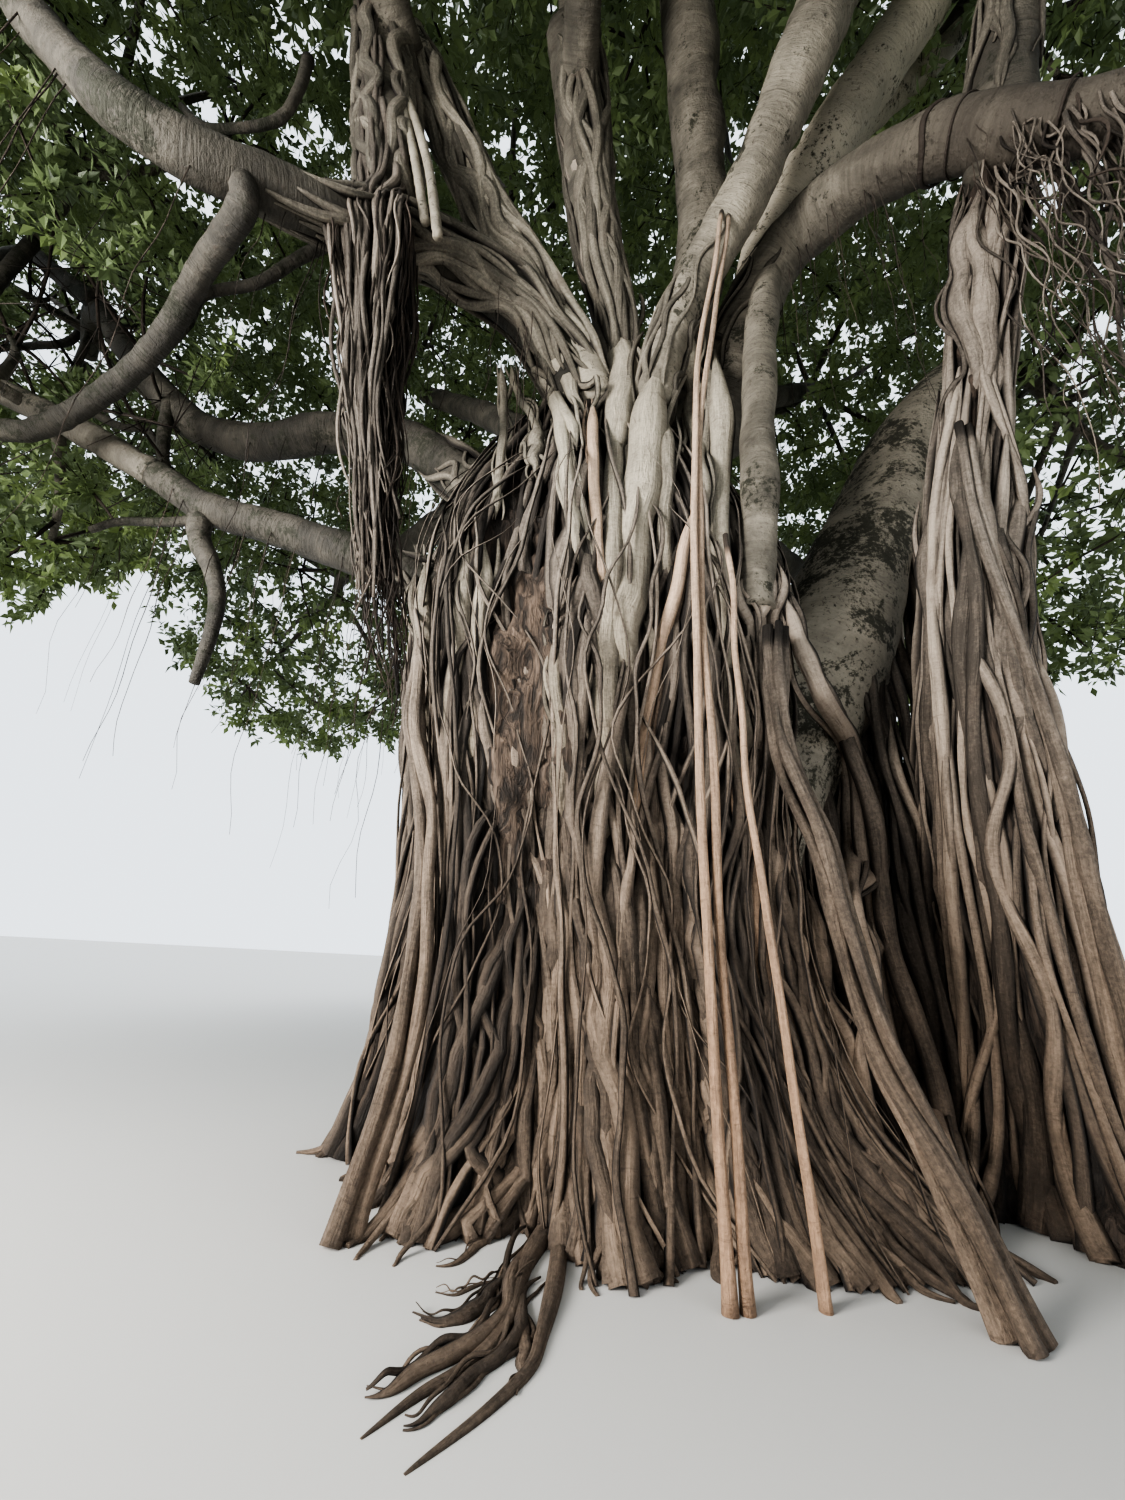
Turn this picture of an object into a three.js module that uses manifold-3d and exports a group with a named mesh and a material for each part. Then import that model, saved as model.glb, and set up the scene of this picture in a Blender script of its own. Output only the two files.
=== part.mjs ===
// A banyan tree: a trunk of fused aerial roots, a second column of roots, the main boughs,
// the prop roots and hanging roots, and the masses of foliage.
// Millimetres, +Z up, ground at Z 0. +X is the tree's right and -Y its front.
// The origin is the middle of the flat cut under the trunk.

import * as THREE from "three";
import { mergeVertices } from "three/addons/utils/BufferGeometryUtils.js";
import Module from "manifold-3d";

const wasm = await Module();
wasm.setup();

// Driving dimensions
const METRE = 1000;
const GAP = 0.45; // clearance kept round every finished piece
const TRUNK = {
  height: 8.6 * METRE,
  halfWidth: 1.86 * METRE, // along X, near the ground
  halfDepth: 1.54 * METRE, // along Y, near the ground
  swell: 0.24 * METRE, // added to both under the fork
  forkTaper: 0.9 * METRE, // taken off both at the fork
  forkStart: 5.4 * METRE,
  lean: -0.22 * METRE, // the axis drifts left by this much at the fork
  flare: 0.18 * METRE, // added all round at the ground
  frontFlare: 0.55 * METRE, // added to that towards flareAngle
  flareAngle: -0.85,
  flareFade: 0.6 * METRE, // height over which the flare dies away
  flutes: [
    // ridges round the trunk: how many, how deep, and where the first one stands
    { count: 9, depth: 0.04, phase: 1.1 },
    { count: 13, depth: 0.035, phase: 2.1 },
    { count: 5, depth: 0.03, phase: 4.0 },
  ],
  fluteFlare: 1.2, // how much deeper the ridges are at the ground
  sides: 42,
  rings: 8,
  fanAside: 0.15 * METRE, // the fan of the flat cut meets this far from the origin
};
const COLUMN = {
  // the second column of roots, from the ground to the low right bough
  path: [[3.5, -0.5, 0], [3.4, -0.85, 3.0], [3.45, -1.35, 6.0], [3.6, -2.5, 9.3]],
  radius: 0.62 * METRE,
  topRadius: 0.3 * METRE,
  flare: 0.42 * METRE,
  flareAngle: 0,
  frontFlare: 0.1 * METRE,
  flareFade: 0.5 * METRE,
  flutes: [
    { count: 7, depth: 0.1, phase: 0.7 },
    { count: 4, depth: 0.06, phase: 1.9 },
  ],
  fluteFlare: 0.9,
  sides: 22,
  rings: 8,
};
const BOUGH = { sides: 7, stepsPerStretch: 2 };
const ROOT = { sides: 6, stepsPerStretch: 2 };
const BELOW_GROUND = -0.12; // metres that a root's path runs on before it is cut at the ground
const SPRAY = {
  // one flat leaf stands for a spray of leaves
  length: 2.7 * METRE,
  halfWidth: 0.36, // of its length
  halfThickness: 0.015, // of its length
  widestAt: 0.45, // of its length
  shareOfReach: 0.66, // no longer than this share of the space in its direction
  outward: 0.4, // how far it turns out of the crown's surface
  sunk: 0.25 * METRE, // the last one's root lies this far back from its limb's end
  apart: 0.8 * METRE, // the next one's root lies this much further back
  turns: 6, // directions tried before it is skipped
};
const TWIG = { sides: 3, stemRadius: 0.2, hubRadius: 0.13, limbRadius: 0.075, tipRadius: 0.04 };
const GROWTH = {
  limbs: 7,
  limbReach: 0.66, // of the way to the edge of the space
  limbScatter: 0.08,
  leavesPerLimb: 2,
  hub: 0.85, // the stem ends this share of the way from the bough's tip to the middle
  firstLimb: 0.35, // limbs leave the stem from this share of it to its end
  reachStep: 0.1 * METRE,
};
const GOLDEN_ANGLE = Math.PI * (3 - Math.sqrt(5));
const SPACE_EDGE = 1.03; // a leaf's corner may pass a space's round edge by this
const SPACE_MARGIN = 0.97; // but stops this share short of the space of a neighbour

// Colours, as sRGB hex
const BARK_PALE = 0xa39a8c;
const BARK_GREY = 0x877c70;
const ROOT_BROWN = 0x6f6257;
const ROOT_TAN = 0xb3937a;
const LEAF_GREEN = 0x3f5a2c;

// Boughs: the points each one passes through in metres, its root and tip radius in metres
const BOUGHS = {
  bough_right_low: {
    path: [
      [1.3, -0.3, 8.3], [1.65, -0.75, 9.6], [2.05, -1.2, 10.3], [2.5, -1.8, 10.25], [3.1, -2.5, 9.7],
      [3.75, -2.9, 9.1], [4.5, -3.2, 8.75], [5.6, -3.5, 8.9], [6.6, -3.7, 9.6],
    ],
    radii: [0.38, 0.24],
  },
  bough_left_high: {
    path: [
      [-0.3, -0.5, 7.9], [-1.2, -1.1, 8.95], [-2.3, -1.65, 9.05], [-3.3, -2.4, 8.3], [-4.3, -3.05, 7.95],
      [-5.25, -3.3, 8.73], [-6.3, -3.5, 9.9], [-7.1, -3.8, 10.4],
    ],
    radii: [0.36, 0.1],
  },
  bough_left_mid: {
    path: [
      [-1.0, -0.1, 6.4], [-2.1, 0.0, 7.5], [-2.9, 0.0, 8.03], [-3.9, 0.1, 8.2], [-4.95, 0.2, 8.07],
      [-5.85, 0.25, 8.35], [-6.5, 0.25, 8.9], [-7.3, 0.3, 9.75], [-8.1, 0.35, 10.75],
    ],
    radii: [0.32, 0.18],
  },
  bough_left_low: {
    path: [
      [-1.5, -0.3, 5.15], [-2.4, -0.6, 5.43], [-3.1, -0.7, 5.62], [-3.75, -0.7, 5.83], [-4.5, -0.8, 5.98],
      [-5.1, -0.9, 6.3],
    ],
    radii: [0.25, 0.16],
  },
  bough_right_back: {
    path: [[1.3, 0.1, 3.0], [2.4, 0.05, 4.9], [3.2, 0.15, 6.5], [4.85, 0.5, 9.6], [6.4, 0.9, 11.6]],
    radii: [0.84, 0.4],
  },
  bough_right_y: {
    path: [
      [0.3, -0.85, 7.3], [0.5, -1.1, 8.5], [0.85, -1.4, 9.35], [1.3, -1.85, 10.05], [1.85, -2.6, 11.3],
      [2.3, -2.95, 12.5],
    ],
    radii: [0.22, 0.34],
  },
  bough_right_up: {
    path: [
      [1.7, -0.8, 9.8], [1.95, -1.15, 10.75], [2.35, -1.6, 11.35], [2.9, -2.0, 12.1], [3.6, -2.4, 13.2],
    ],
    radii: [0.32, 0.35],
  },
  bough_right_fork: {
    path: [[2.4, -1.5, 11.5], [3.2, -1.6, 12.6], [4.0, -1.65, 13.6], [4.7, -1.7, 14.6]],
    radii: [0.28, 0.2],
  },
  bough_right_wrapped: {
    path: [[3.6, -2.6, 9.4], [3.55, -3.3, 10.8], [3.9, -5.0, 11.7], [4.3, -6.2, 11.7]],
    radii: [0.3, 0.18],
  },
  bough_left_column: {
    path: [[-2.7, -1.8, 8.95], [-2.94, -1.9, 10.46], [-3.1, -2.05, 11.6], [-3.3, -2.3, 12.9]],
    radii: [0.32, 0.34],
  },
  bough_left_upper: {
    path: [
      [-0.35, -0.7, 8.1], [-0.8, -0.95, 9.0], [-1.5, -1.25, 10.0], [-2.1, -1.55, 10.95],
      [-2.65, -1.85, 12.0], [-2.95, -2.05, 12.7],
    ],
    radii: [0.3, 0.2],
  },
  bough_left_fork: {
    path: [
      [-3.6, -2.65, 7.75], [-4.2, -2.2, 7.6], [-4.65, -1.85, 7.2], [-5.3, -1.55, 6.75], [-6.1, -1.4, 6.3],
      [-7.0, -1.4, 6.6], [-7.5, -1.3, 8.0], [-7.4, -1.25, 9.6],
    ],
    radii: [0.17, 0.1],
  },
  bough_centre_wrapped: {
    path: [
      [0.03, -0.45, 8.1], [-0.1, -0.8, 9.3], [-0.42, -1.15, 10.4], [-0.62, -1.5, 11.6], [-0.85, -2.0, 13.1],
    ],
    radii: [0.18, 0.36],
  },
  bough_centre_smooth: {
    path: [[0.75, -0.4, 8.1], [1.0, -0.7, 10.1], [1.03, -1.1, 11.4], [0.85, -1.6, 12.5], [0.6, -2.3, 14.1]],
    radii: [0.32, 0.36],
  },
  bough_top_left: {
    path: [[-0.3, 0.2, 8.1], [-0.9, 0.9, 11.5], [-1.6, 1.5, 14.6]],
    radii: [0.4, 0.22],
  },
  bough_top_right: {
    path: [[0.5, 0.1, 8.1], [1.3, 0.6, 11.5], [2.2, 0.8, 14.8]],
    radii: [0.38, 0.2],
  },
  bough_back_left: {
    path: [[-0.7, 0.5, 7.3], [-2.6, 2.6, 9.2], [-4.6, 4.6, 9.8], [-6.0, 5.8, 10.6]],
    radii: [0.42, 0.2],
  },
  bough_back: {
    path: [[0.0, 0.7, 7.4], [0.2, 3.0, 9.4], [0.1, 5.5, 10.0], [-0.2, 7.4, 10.8]],
    radii: [0.42, 0.2],
  },
  bough_back_right: {
    path: [[0.7, 0.5, 7.4], [2.4, 2.6, 9.4], [4.4, 4.6, 10.1], [5.8, 5.9, 10.8]],
    radii: [0.4, 0.2],
  },
  bough_inner_left: {
    path: [[-0.6, 0.4, 8.2], [-2.2, 2.0, 11.0], [-3.8, 3.2, 13.0]],
    radii: [0.3, 0.18],
  },
  bough_inner_back: {
    path: [[0.0, 0.6, 8.2], [0.1, 2.5, 11.4], [0.0, 4.0, 13.4]],
    radii: [0.3, 0.18],
  },
  bough_inner_right: {
    path: [[0.8, 0.4, 8.2], [2.5, 1.7, 11.2], [4.2, 2.8, 13.2]],
    radii: [0.3, 0.18],
  },
  bough_front_left: {
    path: [[-3.0, -2.3, 12.1], [-3.5, -4.5, 12.5], [-3.9, -6.3, 11.7]],
    radii: [0.24, 0.16],
  },
  bough_front: {
    path: [[-0.75, -1.9, 12.3], [-0.6, -4.6, 12.7], [-0.3, -6.6, 11.9]],
    radii: [0.24, 0.16],
  },
};

// Masses of foliage: the bough each grows from, and the middle and half sizes of its space, in metres
const MASSES = {
  foliage_left_low: { bough: "bough_left_low", middle: [-8.2, -1.2, 7.7], half: [3.7, 3.5, 3.0] },
  foliage_left_mid: { bough: "bough_left_mid", middle: [-9.6, 1.8, 11.0], half: [3.7, 4.0, 3.2] },
  foliage_left_high: { bough: "bough_left_high", middle: [-9.0, -4.8, 10.8], half: [4.0, 4.0, 3.5] },
  foliage_left_fork: { bough: "bough_left_fork", middle: [-7.2, -1.2, 13.2], half: [3.4, 3.6, 2.6] },
  foliage_front_left: { bough: "bough_front_left", middle: [-5.0, -8.8, 10.3], half: [4.1, 4.0, 3.7] },
  foliage_front: { bough: "bough_front", middle: [0.2, -9.8, 10.2], half: [4.1, 3.8, 3.7] },
  foliage_front_right: { bough: "bough_right_wrapped", middle: [5.4, -8.6, 10.3], half: [4.1, 4.0, 3.7] },
  foliage_right_low: { bough: "bough_right_low", middle: [9.1, -4.3, 10.0], half: [4.1, 4.1, 3.9] },
  foliage_right_back: { bough: "bough_right_back", middle: [9.3, 1.8, 10.3], half: [4.0, 4.3, 4.2] },
  foliage_back_right: { bough: "bough_back_right", middle: [6.6, 7.5, 10.1], half: [4.2, 4.2, 4.2] },
  foliage_back: { bough: "bough_back", middle: [0.0, 9.4, 10.1], half: [4.3, 4.0, 4.2] },
  foliage_back_left: { bough: "bough_back_left", middle: [-6.8, 7.2, 10.0], half: [4.3, 4.2, 4.2] },
  foliage_mid_left: { bough: "bough_left_column", middle: [-4.0, -4.0, 15.0], half: [3.9, 4.0, 2.9] },
  foliage_mid_front: { bough: "bough_centre_wrapped", middle: [-0.4, -6.0, 15.0], half: [3.7, 3.9, 2.8] },
  foliage_mid_right: { bough: "bough_right_y", middle: [3.6, -4.8, 15.1], half: [3.8, 3.9, 2.9] },
  foliage_upper_right: { bough: "bough_right_up", middle: [6.4, -1.2, 14.7], half: [3.8, 3.9, 3.0] },
  foliage_inner_right: { bough: "bough_inner_right", middle: [5.2, 4.0, 14.8], half: [4.0, 4.0, 3.0] },
  foliage_inner_back: { bough: "bough_inner_back", middle: [0.1, 5.8, 15.2], half: [3.9, 3.9, 3.0] },
  foliage_inner_left: { bough: "bough_inner_left", middle: [-5.2, 3.6, 14.7], half: [4.1, 4.1, 3.0] },
  foliage_top_left: { bough: "bough_top_left", middle: [-2.4, 1.4, 17.2], half: [3.6, 3.7, 2.9] },
  foliage_top_right: { bough: "bough_top_right", middle: [2.5, 1.2, 17.2], half: [3.6, 3.7, 2.9] },
  foliage_top_front: { bough: "bough_centre_smooth", middle: [0.1, -2.3, 16.8], half: [3.6, 3.4, 2.7] },
};

// Roots in metres: a path that ends at Z 0 stands in the ground, and the others hang or join the trunk
const ROOTS = {
  stem_right: {
    path: [[1.83, -1.1, 10.0], [1.5, -1.3, 8.0], [1.28, -1.5, 6.0], [1.2, -1.4, 4.6]],
    radii: [0.2, 0.15],
    tint: BARK_PALE,
  },
  prop_root_front: {
    path: [[1.05, -1.85, 9.7], [0.9, -2.0, 8.7], [0.57, -2.05, 6.3], [0.48, -2.08, 2.6], [0.5, -2.25, 0]],
    radii: [0.06, 0.075],
    tint: ROOT_TAN,
  },
  prop_root_pair: {
    path: [[0.76, -2.0, 4.9], [0.78, -2.08, 2.6], [0.93, -2.2, 0]],
    radii: [0.05, 0.06],
    tint: ROOT_TAN,
  },
  prop_root_right: {
    path: [
      [1.27, -1.6, 4.3], [1.2, -1.68, 3.2], [1.36, -1.82, 2.3], [1.46, -2.0, 1.28], [1.64, -2.2, 0.58],
      [1.78, -2.35, 0],
    ],
    radii: [0.1, 0.11],
    tint: BARK_GREY,
  },
  prop_root_outer: {
    path: [
      [3.22, -1.78, 6.6], [3.08, -1.85, 5.4], [3.22, -1.72, 4.3], [3.32, -1.66, 3.1], [3.17, -1.75, 1.2],
      [3.05, -1.9, 0],
    ],
    radii: [0.085, 0.11],
    tint: ROOT_TAN,
  },
  prop_root_left: {
    path: [
      [-1.95, -0.75, 4.6], [-1.83, -1.08, 3.5], [-1.55, -1.25, 2.5], [-1.45, -1.42, 1.1], [-1.6, -1.75, 0],
    ],
    radii: [0.09, 0.11],
    tint: BARK_GREY,
  },
  prop_root_back: {
    path: [[-0.6, 1.8, 6.0], [-0.7, 1.95, 3.0], [-0.8, 2.3, 0]],
    radii: [0.12, 0.17],
    tint: BARK_GREY,
  },
  root_curtain: {
    path: [[-2.75, -2.0, 8.6], [-2.65, -1.9, 7.7], [-2.4, -1.72, 5.9], [-2.0, -1.5, 3.6]],
    radii: [0.36, 0.1],
    tint: ROOT_BROWN,
  },
};

// Roots that run along the ground from the trunk's foot, half sunk: where each passes, and its radius
const GROUND_ROOTS = {
  ground_root_long: {
    path: [[-0.45, -1.5], [-0.57, -1.95], [-0.64, -2.5], [-0.77, -2.74], [-0.9, -2.87], [-1.06, -3.09]],
    radii: [0.08, 0.035],
  },
  ground_root_short: {
    path: [[-0.36, -1.6], [-0.4, -2.1], [-0.46, -2.5], [-0.5, -2.7], [-0.64, -2.93], [-0.88, -3.22]],
    radii: [0.07, 0.03],
  },
};

// A repeatable random number from 0 to 1 for a seed and two counters
function chance(seed, i, j = 0) {
  const wave = Math.sin(seed * 12.9898 + i * 78.233 + j * 37.719) * 43758.5453;
  return wave - Math.floor(wave);
}

const smooth = THREE.MathUtils.smoothstep;
const mix = THREE.MathUtils.lerp;
const point = ([x, y, z]) => new THREE.Vector3(x, y, z).multiplyScalar(METRE);
const curveThrough = (path) => new THREE.CatmullRomCurve3(path.map(point));

function solidOf(geometry) {
  geometry.deleteAttribute("normal");
  geometry.deleteAttribute("uv");
  const merged = mergeVertices(geometry, 1e-3);
  return new wasm.Manifold(
    new wasm.Mesh({
      numProp: 3,
      vertProperties: merged.attributes.position.array,
      triVerts: new Uint32Array(merged.index.array),
    }),
  );
}

function geometryOf(solid) {
  const mesh = solid.getMesh();
  const geometry = new THREE.BufferGeometry();
  geometry.setAttribute("position", new THREE.BufferAttribute(new Float32Array(mesh.vertProperties), 3));
  geometry.setIndex(new THREE.BufferAttribute(new Uint32Array(mesh.triVerts), 1));
  geometry.computeVertexNormals();
  return geometry;
}

// A solid cylinder whose vertices are moved by place(angle, share of the height, share of the radius)
function bentCylinder(sides, rings, place) {
  const geometry = new THREE.CylinderGeometry(1, 1, 1, sides, rings);
  const position = geometry.attributes.position;
  for (let i = 0; i < position.count; i++) {
    const x = position.getX(i);
    const z = position.getZ(i);
    const moved = place(Math.atan2(-z, x), position.getY(i) + 0.5, Math.hypot(x, z));
    position.setXYZ(i, moved.x, moved.y, moved.z);
  }
  return solidOf(geometry);
}

// Frames carried along a curve without twisting; the first and last stand past its ends by grow
function carriedFrames(curve, steps, grow) {
  const frames = [];
  let side = new THREE.Vector3(1, 0, 0);
  for (let i = 0; i <= steps; i++) {
    const along = curve.getTangentAt(i / steps);
    if (i === 0 && Math.abs(along.x) > 0.9) side.set(0, 1, 0);
    side = side.clone().addScaledVector(along, -side.dot(along)).normalize();
    const past = i === 0 ? -grow : i === steps ? grow : 0;
    const centre = curve.getPointAt(i / steps).addScaledVector(along, past);
    frames.push({ centre, side, across: along.clone().cross(side) });
  }
  return frames;
}

// A tapering limb round a curve, its radii in metres
function limb(curve, radii, sides, steps, grow = 0) {
  const frames = carriedFrames(curve, steps, grow);
  return bentCylinder(sides, steps, (angle, share, out) => {
    const { centre, side, across } = frames[Math.round(share * steps)];
    const radius = (mix(radii[0], radii[1], share) * METRE + grow) * out;
    return centre
      .clone()
      .addScaledVector(side, Math.cos(angle) * radius)
      .addScaledVector(across, Math.sin(angle) * radius);
  });
}

// How far a fluted piece's ridges and hollows stand from its plain radius, as a factor
function fluting(spec, angle, height) {
  const twist = height / (3 * METRE);
  const foot = Math.exp(-height / spec.flareFade);
  const ridges = spec.flutes.reduce((sum, f) => sum + f.depth * Math.cos(f.count * angle + f.phase + twist), 0);
  return 1 + ridges * (1 + spec.fluteFlare * foot);
}

// What the root flare adds to the radius at an angle and a height
function flareAt(spec, angle, height) {
  const facing = Math.max(0, Math.cos(angle - spec.flareAngle)) ** 4;
  return (spec.flare + spec.frontFlare * facing) * Math.exp(-height / spec.flareFade);
}

function trunk(grow = 0) {
  const t = TRUNK;
  return bentCylinder(t.sides, t.rings, (angle, share, out) => {
    const z = t.height * share ** 1.5; // more rings near the ground, where the flare curves most
    const swell = t.swell * smooth(z, 2 * METRE, 5 * METRE);
    const added = swell - t.forkTaper * smooth(z, t.forkStart, t.height) + flareAt(t, angle, z);
    const ridges = fluting(t, angle, z);
    const x = ((t.halfWidth + added) * ridges + grow) * Math.cos(angle) * out;
    const y = ((t.halfDepth + added) * ridges + grow) * Math.sin(angle) * out;
    const aside = out === 0 ? t.fanAside : 0;
    return new THREE.Vector3(x + aside + t.lean * smooth(z, 0, t.height), y, share === 1 ? z + grow : z);
  });
}

function column(grow = 0) {
  const c = COLUMN;
  const axis = curveThrough(c.path);
  return bentCylinder(c.sides, c.rings, (angle, share, out) => {
    const middle = axis.getPoint(share ** 1.3);
    const plain = mix(c.radius, c.topRadius, smooth(middle.z, 0, 8 * METRE));
    const radius = ((plain + flareAt(c, angle, middle.z)) * fluting(c, angle, middle.z) + grow) * out;
    const top = share === 1 ? grow : 0;
    return middle.add(new THREE.Vector3(Math.cos(angle) * radius, Math.sin(angle) * radius, top));
  });
}

function bough({ path, radii }, grow = 0) {
  return limb(curveThrough(path), radii, BOUGH.sides, BOUGH.stepsPerStretch * (path.length - 1), grow);
}

// A box of air above the ground, far larger than the tree
function aboveGround() {
  const size = 60 * METRE;
  return solidOf(new THREE.BoxGeometry(size, size, size).translate(0, 0, size / 2));
}

// A standing root's path is carried on under the ground, where it is cut off
function root({ path, radii }, grow = 0) {
  const last = path[path.length - 1];
  const inGround = last[2] === 0;
  const whole = inGround ? [...path.slice(0, -1), [last[0], last[1], BELOW_GROUND]] : path;
  return limb(curveThrough(whole), radii, ROOT.sides, ROOT.stepsPerStretch * (path.length - 1), grow);
}

function groundRoot({ path, radii }, grow = 0) {
  const level = path.map(([x, y]) => [x, y, 0]);
  return limb(curveThrough(level), radii, BOUGH.sides, ROOT.stepsPerStretch * (path.length - 1), grow);
}

// The space of each mass of foliage: its middle and its half sizes
const SPACES = Object.fromEntries(
  Object.entries(MASSES).map(([name, mass]) => [name, { centre: point(mass.middle), size: point(mass.half) }]),
);

// How far out a point lies in a mass's space: 0 in the middle, 1 at its edge
const depthIn = ({ centre, size }, at) => at.clone().sub(centre).divide(size).length();

function owns(name, at) {
  const own = depthIn(SPACES[name], at);
  const nearest = (other) => other === name || own < depthIn(SPACES[other], at) * SPACE_MARGIN;
  return own < SPACE_EDGE && Object.keys(SPACES).every(nearest);
}

// How far a mass's own space reaches from its middle in a direction
function reachIn(name, direction) {
  let reach = 0;
  const at = SPACES[name].centre.clone();
  while (owns(name, at)) {
    at.addScaledVector(direction, GROWTH.reachStep);
    reach += GROWTH.reachStep;
  }
  return reach;
}

// Directions spread evenly over a ball, turned by the seed
function evenDirection(k, count, seed) {
  const z = 1 - (2 * k + 1) / count;
  const angle = k * GOLDEN_ANGLE + seed * 1.7;
  const ring = Math.sqrt(1 - z * z);
  return new THREE.Vector3(Math.cos(angle) * ring, Math.sin(angle) * ring, z);
}

// A spray of leaves: eight faces between its root, its tip, two edges and two thin sides
function spray(root, direction, facing, length) {
  const geometry = new THREE.OctahedronGeometry(1);
  const position = geometry.attributes.position;
  const across = direction.clone().cross(facing).normalize();
  const up = across.clone().cross(direction).normalize();
  for (let i = 0; i < position.count; i++) {
    const along = [0, SPRAY.widestAt, 1][Math.round(position.getX(i)) + 1];
    const moved = root
      .clone()
      .addScaledVector(direction, along * length)
      .addScaledVector(up, position.getY(i) * SPRAY.halfThickness * length)
      .addScaledVector(across, position.getZ(i) * SPRAY.halfWidth * length);
    position.setXYZ(i, moved.x, moved.y, moved.z);
  }
  return geometry;
}

function cornersOf(geometry) {
  const position = geometry.attributes.position;
  return Array.from({ length: position.count }, (_, i) => new THREE.Vector3().fromBufferAttribute(position, i));
}

function boxesApart(a, b) {
  const first = a.boundingBox();
  const second = b.boundingBox();
  return [0, 1, 2].some((i) => first.min[i] > second.max[i] || second.min[i] > first.max[i]);
}

const grown = []; // every finished piece, larger by the gap

const touchesTree = (solid) =>
  grown.some((other) => !boxesApart(solid, other) && !solid.intersect(other).isEmpty());

// The first spray that fits at a root, turned about the outward direction by the seed; undefined if none does
function fittingSpray(name, root, outward, length, seed, k, j) {
  const sideways = new THREE.Vector3(0, 0, 1).cross(outward).normalize();
  const turns = Array.from({ length: SPRAY.turns }, (_, i) => i);
  const solids = turns.map((i) => {
    const angle = 2 * Math.PI * (chance(seed, k, 7) + j / GROWTH.leavesPerLimb + i / SPRAY.turns);
    const direction = sideways.clone().applyAxisAngle(outward, angle).addScaledVector(outward, SPRAY.outward);
    const geometry = spray(root, direction.normalize(), outward, length);
    return cornersOf(geometry).every((at) => owns(name, at)) ? solidOf(geometry) : undefined;
  });
  return solids.find((solid) => solid && !touchesTree(solid));
}

// A mass grows from its bough's tip: a stem to a hub, limbs that leave the stem for points
// spread evenly through the mass's space, and sprays along each limb
function foliage(name, seed) {
  const mass = MASSES[name];
  const { centre } = SPACES[name];
  const boughCurve = curveThrough(BOUGHS[mass.bough].path);
  const heading = boughCurve.getTangentAt(1);
  const tip = boughCurve.getPointAt(1).addScaledVector(heading, GAP);
  const hub = tip.clone().lerp(centre, GROWTH.hub);
  const bend = tip.clone().addScaledVector(heading, tip.distanceTo(hub) * 0.4);
  const stem = new THREE.QuadraticBezierCurve3(tip, bend, hub);
  const stemRadius = Math.min(TWIG.stemRadius, BOUGHS[mass.bough].radii[1]);
  let solid = limb(stem, [stemRadius, Math.min(stemRadius, TWIG.hubRadius)], TWIG.sides, 4);
  const forward = hub.clone().sub(tip).normalize();
  for (let k = 0; k < GROWTH.limbs; k++) {
    const outward = evenDirection(k, GROWTH.limbs, seed);
    const reach = reachIn(name, outward);
    const share = GROWTH.limbReach + GROWTH.limbScatter * (chance(seed, k) - 0.5);
    const end = centre.clone().addScaledVector(outward, reach * share);
    const leaves = mix(GROWTH.firstLimb, 1, (1 + outward.dot(forward)) / 2);
    const line = new THREE.LineCurve3(stem.getPointAt(leaves * 0.98), end);
    const limbSolid = limb(line, [TWIG.limbRadius, TWIG.tipRadius], TWIG.sides, 1);
    if (touchesTree(limbSolid)) continue;
    solid = solid.add(limbSolid);
    const length = Math.min(SPRAY.length, reach * SPRAY.shareOfReach);
    for (let j = 0; j < GROWTH.leavesPerLimb; j++) {
      const back = SPRAY.sunk + j * SPRAY.apart;
      const root = line.getPointAt(Math.max(0.3, 1 - back / line.getLength()));
      const leaf = fittingSpray(name, root, outward, length, seed, k, j);
      if (leaf) solid = solid.add(leaf);
    }
  }
  return solid;
}

const tree = new THREE.Group();

// Cuts a piece clear of the finished ones, keeps its largest body and adds it to the tree
function finish(name, solid, larger, color, roughness = 0.85) {
  const near = grown.filter((other) => !boxesApart(solid, other));
  const cut = near.reduce((rest, other) => rest.subtract(other), solid);
  const [kept] = cut.decompose().sort((a, b) => b.volume() - a.volume());
  const mesh = new THREE.Mesh(geometryOf(kept), new THREE.MeshStandardMaterial({ color, roughness, metalness: 0 }));
  mesh.name = name;
  tree.add(mesh);
  grown.push(larger);
}

finish("trunk", trunk(), trunk(GAP), BARK_GREY);
for (const [name, spec] of Object.entries(BOUGHS)) {
  finish(name, bough(spec), bough(spec, GAP), BARK_PALE);
  if (name === "bough_right_low") finish("root_column_right", column(), column(GAP), BARK_GREY);
}
const air = aboveGround();
for (const [name, spec] of Object.entries(ROOTS))
  finish(name, root(spec).intersect(air), root(spec, GAP), spec.tint);
for (const [name, spec] of Object.entries(GROUND_ROOTS))
  finish(name, groundRoot(spec).intersect(air), groundRoot(spec, GAP), ROOT_BROWN);
Object.keys(MASSES).forEach((name, i) => {
  const solid = foliage(name, i + 1);
  finish(name, solid, solid, LEAF_GREEN, 0.55);
});

export default tree;
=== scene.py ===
"""Dresses the banyan tree's frame: fused roots round the trunk, a second column of roots, boughs with
bark relief, standing and hanging roots, and masses of twigs and leaves. Metres, +Z up, ground at Z 0;
+X is the tree's right and -Y its front. Run as a script by Blender 4.5."""

import math

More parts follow.
